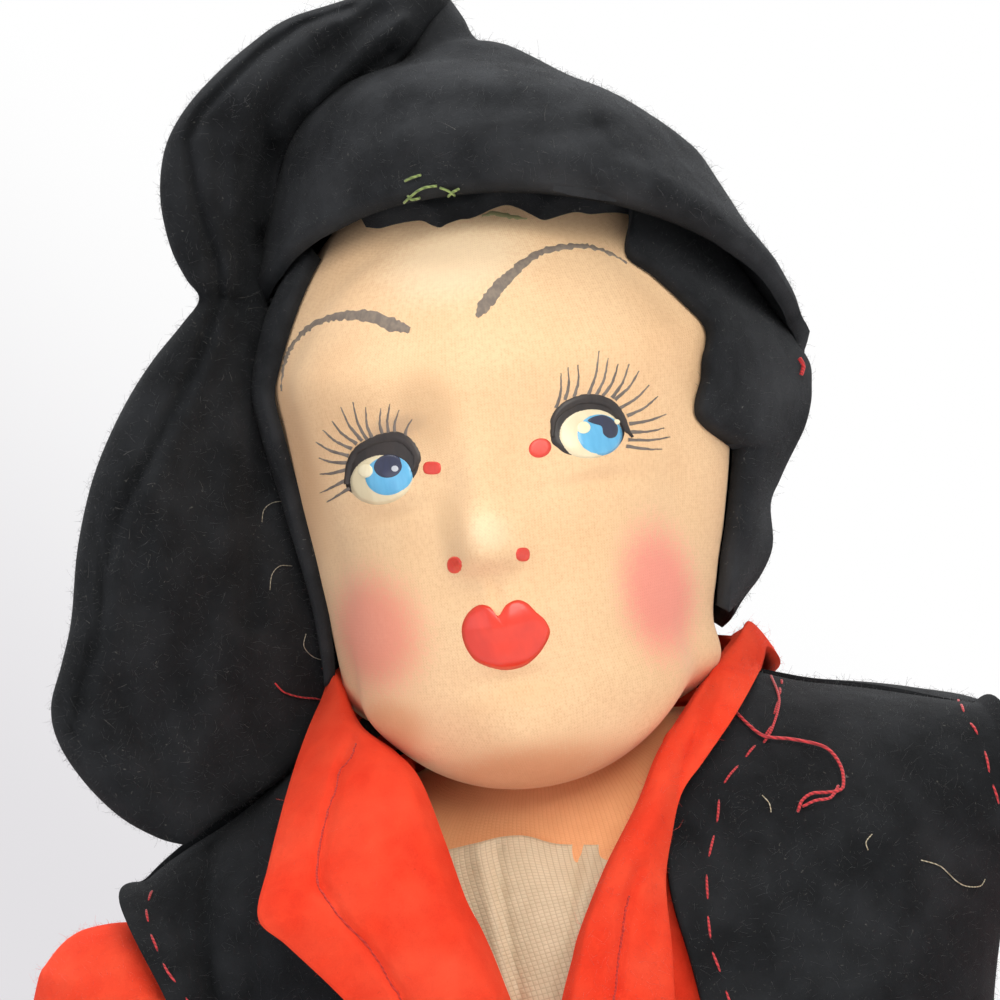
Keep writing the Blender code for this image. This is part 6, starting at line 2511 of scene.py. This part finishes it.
        lines = {
            "vest_front_left": ((782, 679), (774, 717), (765, 736), (742, 760), (723, 787), (717, 819), (709, 860), (707, 899), (712, 946), (726, 991), (742, 1040)),
            "vest_armhole_left": ((958, 700), (970, 722), (981, 742), (994, 787), (1004, 830), (1010, 880)),
            "vest_armhole_right": ((153, 886), (147, 911), (149, 930), (156, 946), (168, 972), (185, 996), (204, 1030)),
        }
        for index, (name, line) in enumerate(lines.items()):
            path = traced(line, 90)
            if len(path) < 4:
                continue
            piece = stitches(f"{name}_stitches", path, outward, self.red_thread, seed=index + 4)
            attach(piece, Body.ROOT.value)
        loose = (
            (((736, 712), (750, 726), (765, 736), (793, 739), (825, 747), (840, 765), (843, 784), (838, 790), (826, 792), (812, 793), (802, 800), (798, 811)), 0.21, 1.3),
            (((771, 676), (779, 700), (772, 728), (764, 742)), 0.17, 0.7),
            (((838, 786), (830, 797), (815, 800), (803, 806)), 0.19, 1.5),
        )
        shape = bmesh.new()
        for line, radius, lift in loose:
            path = traced(line, 60)
            if len(path) < 4:
                continue
            raised = []
            for k, place in enumerate(path):
                rise = lift * math.sin(math.pi * k / (len(path) - 1)) ** 0.5 + 0.12
                raised.append(place + Vector((0, -rise * MM, 0)))
            add_tube(shape, raised, [radius * MM] * len(raised), 8)
        self.finish_threads("vest_loose_red_thread", shape, self.red_thread)
        pale = Thread("pale_linen_fibre", "C9BFA6", "8E8468").material()
        shape = bmesh.new()
        for line in (
            ((921, 860), (940, 866), (955, 880), (966, 886), (980, 886), (985, 879)),
            ((872, 834), (866, 842), (868, 850)), ((762, 795), (769, 803), (771, 812))
        ):
            path = traced(line, 24, 0.35 * MM)
            if len(path) > 3:
                add_tube(shape, path, [0.07 * MM] * len(path), 5)
        self.finish_threads("vest_pale_fibres", shape, pale)

    @staticmethod
    def finish_threads(name: str, shape: bmesh.types.BMesh, material: Material) -> None:
        """Turn loose threads into a piece that rides on the body."""
        mesh = bpy.data.meshes.new(name)
        shape.to_mesh(mesh)
        shape.free()
        piece = link(name, mesh, material)
        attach(piece, Body.ROOT.value)


@dataclass
class LowerClothes:
    """What the lower half doll wears: a cotton blouse with a round collar."""

    cotton: Material
    red_cotton: Material

    def build(self) -> None:
        """Build the blouse and its collar."""
        shoulders = both_shoulders(LOWER_SHOULDER)
        slit = turned((0.6, 0.6))
        blouse = Wrap(
            "lower_blouse", 0.6 * MM, 1.1 * MM, 0.02, 0.950, slit, lambda up: math.tau - slit(up), 160
        ).build(LOWER_BODY, self.cotton, shoulders)
        open_edge = turned((42, 42))
        collar = Wrap(
            "lower_collar", 2.3 * MM, 1.6 * MM, 0.88, 0.945, open_edge, lambda up: math.tau - open_edge(up), 120, 16
        ).build(LOWER_BODY, self.red_cotton, shoulders)
        LOG.info("lower clothes: blouse and collar")


@dataclass(frozen=True)
class SoftLight:
    """A large soft studio lamp."""

    name: str
    place: tuple[float, float, float]
    aim: tuple[float, float, float]
    size: float
    watts: float
    colour: str = "FFFFFF"

    def build(self) -> None:
        """Make the lamp and turn it to its aim."""
        data = bpy.data.lights.new(self.name, "AREA")
        data.size = self.size
        data.energy = self.watts
        data.color = to_linear(self.colour)[:3]
        lamp = bpy.data.objects.new(self.name, data)
        bpy.context.scene.collection.objects.link(lamp)
        lamp.location = self.place
        course = Vector(self.aim) - Vector(self.place)
        lamp.rotation_euler = course.to_track_quat("-Z", "Y").to_euler()


@dataclass(frozen=True)
class Studio:
    """The plain floor, the soft lamps and the pale backdrop."""

    floor_size: float = 1.6
    floor_colour: str = "F4F3F4"
    ambient: float = 0.42
    lights: tuple[SoftLight, ...] = (
        SoftLight("key_light", (0.40, -1.0, 0.95), (0.0, 0.0, 0.27), 0.8, 9.6, "FFFBF4"),
        SoftLight("fill_light", (-0.9, -0.8, 0.45), (0.0, 0.0, 0.25), 0.9, 2.6, "F8F8FF"),
        SoftLight("top_light", (0.1, 0.25, 1.15), (0.0, 0.0, 0.2), 0.8, 11.0, "FFFFFF"),
        SoftLight("back_light", (0.5, 0.9, 0.7), (0.0, 0.0, 0.2), 0.7, 2.5, "FFFFFF")
    )

    def build(self) -> None:
        """Build the lamps, the floor and the world."""
        for lamp in self.lights:
            lamp.build()
        self.build_floor()
        self.build_world()
        bpy.context.scene.view_settings.view_transform = "Standard"
        LOG.info("studio: %d lamps, floor and backdrop", len(self.lights))

    def build_floor(self) -> None:
        """Build a plain pale floor with a faint cloudiness."""

        def finish(tree: Tree) -> tuple[Socket, None]:
            share = add_node(tree, "Math MULTIPLY", cloud_at(tree, object_places(tree), 60 * MM, 3.0), 0.15)
            return add_node(tree, "Mix", {0: share, 6: self.floor_colour, 7: "ECEBEC"}, **TONES), None

        made = finish_material("pale_floor_paper", finish, (0.0, 0.0), Roughness=0.9)
        half = self.floor_size / 2
        mesh = bpy.data.meshes.new("floor")
        corners = [(-half, -half, 0), (half, -half, 0), (half, half, 0), (-half, half, 0)]
        mesh.from_pydata(corners, [], [(0, 1, 2, 3)])
        link("floor", mesh, made)

    def build_world(self) -> None:
        """Light the doll with plain grey air and show the camera a near-white backdrop, with painted shade greying it
        towards the lower left.
        """
        world = bpy.data.worlds.new("pale_studio")
        world.use_nodes = True
        tree = world.node_tree
        tree.nodes.clear()
        rays = [add_node(tree, "LightPath", output=f"Is {ray} Ray") for ray in ("Camera", "Glossy", "Transmission")]
        seen = add_node(tree, "Math MAXIMUM", add_node(tree, "Math MAXIMUM", rays[0], rays[1]), rays[2])
        # Painted shade: the backdrop greys towards its lower left
        way = add_node(tree, "TexCoord", output="Generated")
        right, up = (add_node(tree, "SeparateXYZ", way, output=axis) for axis in (0, 2))
        fall = add_node(tree, "Math MULTIPLY_ADD", up, 0.8, right)
        edge = {"From Min": -0.10, "From Max": 0.02, "Value": fall}
        shade = add_node(tree, "MapRange", edge, interpolation_type="SMOOTHSTEP")
        backdrop = add_node(tree, "Mix", {0: shade, 6: "E3E1E4", 7: "FFFFFF"}, **TONES)
        air = add_node(tree, "Background", {"Color": "FFFFFF", "Strength": self.ambient})
        wall = add_node(tree, "Background", {"Color": backdrop, "Strength": 1.0})
        add_node(tree, "OutputWorld", add_node(tree, "MixShader", seen, air, wall))
        bpy.context.scene.world = world


UPPER_PALETTE = Palette("67BCE8", "4A9FD2", "232A4A", "7C7066", "EE3C24", "D42C1C")
LOWER_PALETTE = Palette("A0713C", "7E5428", "1D1712", "6B4A33", "D83A34", "B5282A")


@dataclass(frozen=True)
class Cut:
    """A piece of cloth and the flat size that it was cut to before it was sewn on."""

    piece: str
    width: float
    length: float
    held: str
    rests_on: tuple[str, ...]
    # In square centimetres, where the cut isn't a rectangle
    area: float | None = None

    def declare(self) -> None:
        """Do nothing: the piece is not passed on."""


CUTS = (
    Cut("skirt_outer_felt", 640, 185, "gathered", ("waistband", "upper_torso")),
    Cut("skirt_lining_cloth", 620, 183, "gathered", ("waistband", "skirt_outer")),
    Cut("waistband_felt", 226, 20, "stretched", ("upper_shirt",)),
    Cut("upper_dickey_cloth", 62, 52, "stretched", ("upper_torso",)),
    Cut("upper_shirt_cloth", 262, 84, "stretched", ("upper_torso",), 176),
    Cut("upper_vest_back_felt", 125, 80, "stretched", ("upper_shirt",), 88),
    Cut("upper_vest_left_felt", 54, 78, "stretched", ("upper_shirt",), 37),
    Cut("upper_vest_right_felt", 52, 78, "stretched", ("upper_shirt",), 34),
    Cut("upper_collar_left_felt", 92, 30, "folded", ("upper_vest_left", "upper_shirt"), 16),
    Cut("upper_collar_right_felt", 96, 32, "folded", ("upper_vest_right", "upper_shirt"), 20),
    Cut("upper_face_cloth", 80, 88, "stretched", ("upper_head",), 62),
    Cut("lower_face_cloth", 80, 88, "stretched", ("lower_head",), 62),
    Cut("upper_hair_fringe_felt", 40, 11, "laid", ("upper_face_mask",)),
    Cut("lower_hair_fringe_felt", 40, 11, "laid", ("lower_face_mask",)),
    Cut("upper_hair_left_felt", 36, 58, "laid", ("upper_head", "upper_face_mask"), 17),
    Cut("lower_hair_right_felt", 36, 58, "laid", ("lower_head", "lower_face_mask"), 17),
    Cut("upper_hair_right_felt", 32, 56, "laid", ("upper_head",), 15),
    Cut("lower_hair_left_felt", 32, 56, "laid", ("lower_head",), 15),
    Cut("upper_hair_back_felt", 56, 40, "laid", ("upper_head",)),
    Cut("lower_hair_back_felt", 56, 40, "laid", ("lower_head",)),
    Cut("upper_cap_crown_felt", 200, 46, "stretched", ("upper_head",), 72),
    Cut("lower_kerchief_cloth", 105, 62, "draped", ("lower_head",), 56),
    Cut("lower_blouse_cloth", 250, 80, "stretched", ("lower_torso",), 162),
    Cut("lower_collar_cloth", 190, 10, "folded", ("lower_blouse",), 15),
    Cut("upper_sleeve_left_cloth", 86, 68, "stretched", ("upper_arm_left",)),
    Cut("upper_sleeve_right_cloth", 86, 68, "stretched", ("upper_arm_right",)),
    Cut("lower_sleeve_left_cloth", 86, 68, "stretched", ("lower_arm_left",)),
    Cut("lower_sleeve_right_cloth", 86, 68, "stretched", ("lower_arm_right",))
)


def declare_soft_pieces() -> None:
    """Go through the cut pieces, whose declare step does nothing."""
    for cut in CUTS:
        cut.declare()


def main() -> None:
    """Build every group of pieces in order."""
    logging.basicConfig(level=logging.INFO, format="%(message)s")
    VIEW.build()
    Studio().build()
    black, black_fuzz = BLACK_FELT.material(), BLACK_FUZZ.material()
    # The lighter copy of black felt: painted light on the cap's crown and the upper hair
    worn = LIT_CAP_FELT.material()
    red, red_fuzz = RED_FELT.material(), RED_FUZZ.material()
    lint = GREY_FUZZ.material()
    brown, brown_fuzz = BROWN_FELT.material(), BROWN_FUZZ.material()
    muslin = WovenCloth("flesh_muslin", "F0C79A", "D9A878", 0.42).material()
    # An oranger copy of the flesh muslin for the necks and the upper torso: painted shade with a red cast, as under the
    # chin
    shaded_neck_cloth = WovenCloth("neck_muslin", "FFBA82", "EC9D65", 0.42).material()
    silk = WovenCloth("cream_silk_gauze", "E6D3B2", "B9A07A", 0.62, 0.3, 0.5, 0.4).material()
    cotton = WovenCloth("cream_cotton_cloth", "EBDFC8", "C9B896", 0.40).material()
    red_cotton = WovenCloth("red_cotton_cloth", "B5232A", "6E1216", 0.40).material()
    red_thread = Thread("red_cotton_thread", "D8363C", "8E1A20").material()
    surface = FaceSurface()
    for prefix, head_body, neck_body, body_matrix, head_matrix, palette in (
        ("upper", Body.UPPER_HEAD, Body.UPPER_NECK, UPPER_BODY, UPPER_HEAD, UPPER_PALETTE),
        ("lower", Body.LOWER_HEAD, Body.LOWER_NECK, LOWER_BODY, LOWER_HEAD, LOWER_PALETTE)
    ):
        mirrored = prefix == "lower"
        lean = Matrix() if mirrored else UPPER_LEAN
        neck_matrix = body_matrix @ Matrix.Translation(NECK_PIVOT) @ lean
        Torso(prefix, body_matrix, muslin if mirrored else shaded_neck_cloth).build()
        head = StuffedHead(prefix, head_body, neck_body, head_matrix, neck_matrix, muslin, shaded_neck_cloth).build()
        Face(prefix, head_body, head_matrix, mirrored, palette).build(surface)
        # The upper hair takes the lighter black felt, painted light on top
        felt, fuzz = (brown, brown_fuzz) if mirrored else (worn, black_fuzz)
        hair = HairSet(prefix, head_body, head_matrix, mirrored, felt, fuzz).build(surface)
        if mirrored:
            Kerchief(red_cotton).build([*head, *hair])
        else:
            StockingCap(worn, black, black_fuzz, lint).build([*head, *hair])
        for word, side in (("left", 1), ("right", -1)):
            body = Body(f"{prefix}_arm_{word}")
            centre = LOWER_SHOULDER if mirrored else SHOULDER
            spread = math.radians(173 if mirrored else 24)
            sleeve_felt, slot = (cotton, "cream_cotton") if mirrored else (red, "red_felt")
            slim = 0.2 if side > 0 and not mirrored else 0.0
            _, sleeve = Arm(
                prefix, word, side, body, centre, spread, body_matrix, muslin, sleeve_felt, slot, slim=slim
            ).build()
            if not mirrored:
                fuzzed(sleeve, 50 + side, red_fuzz, body, 90, 1.0)
    UpperClothes(black, black_fuzz, red, red_fuzz, silk, red_thread).build()
    LowerClothes(cotton, red_cotton).build()
    Skirt(black, red_cotton, red, black_fuzz).build()
    declare_soft_pieces()


if __name__ == "__main__":
    main()
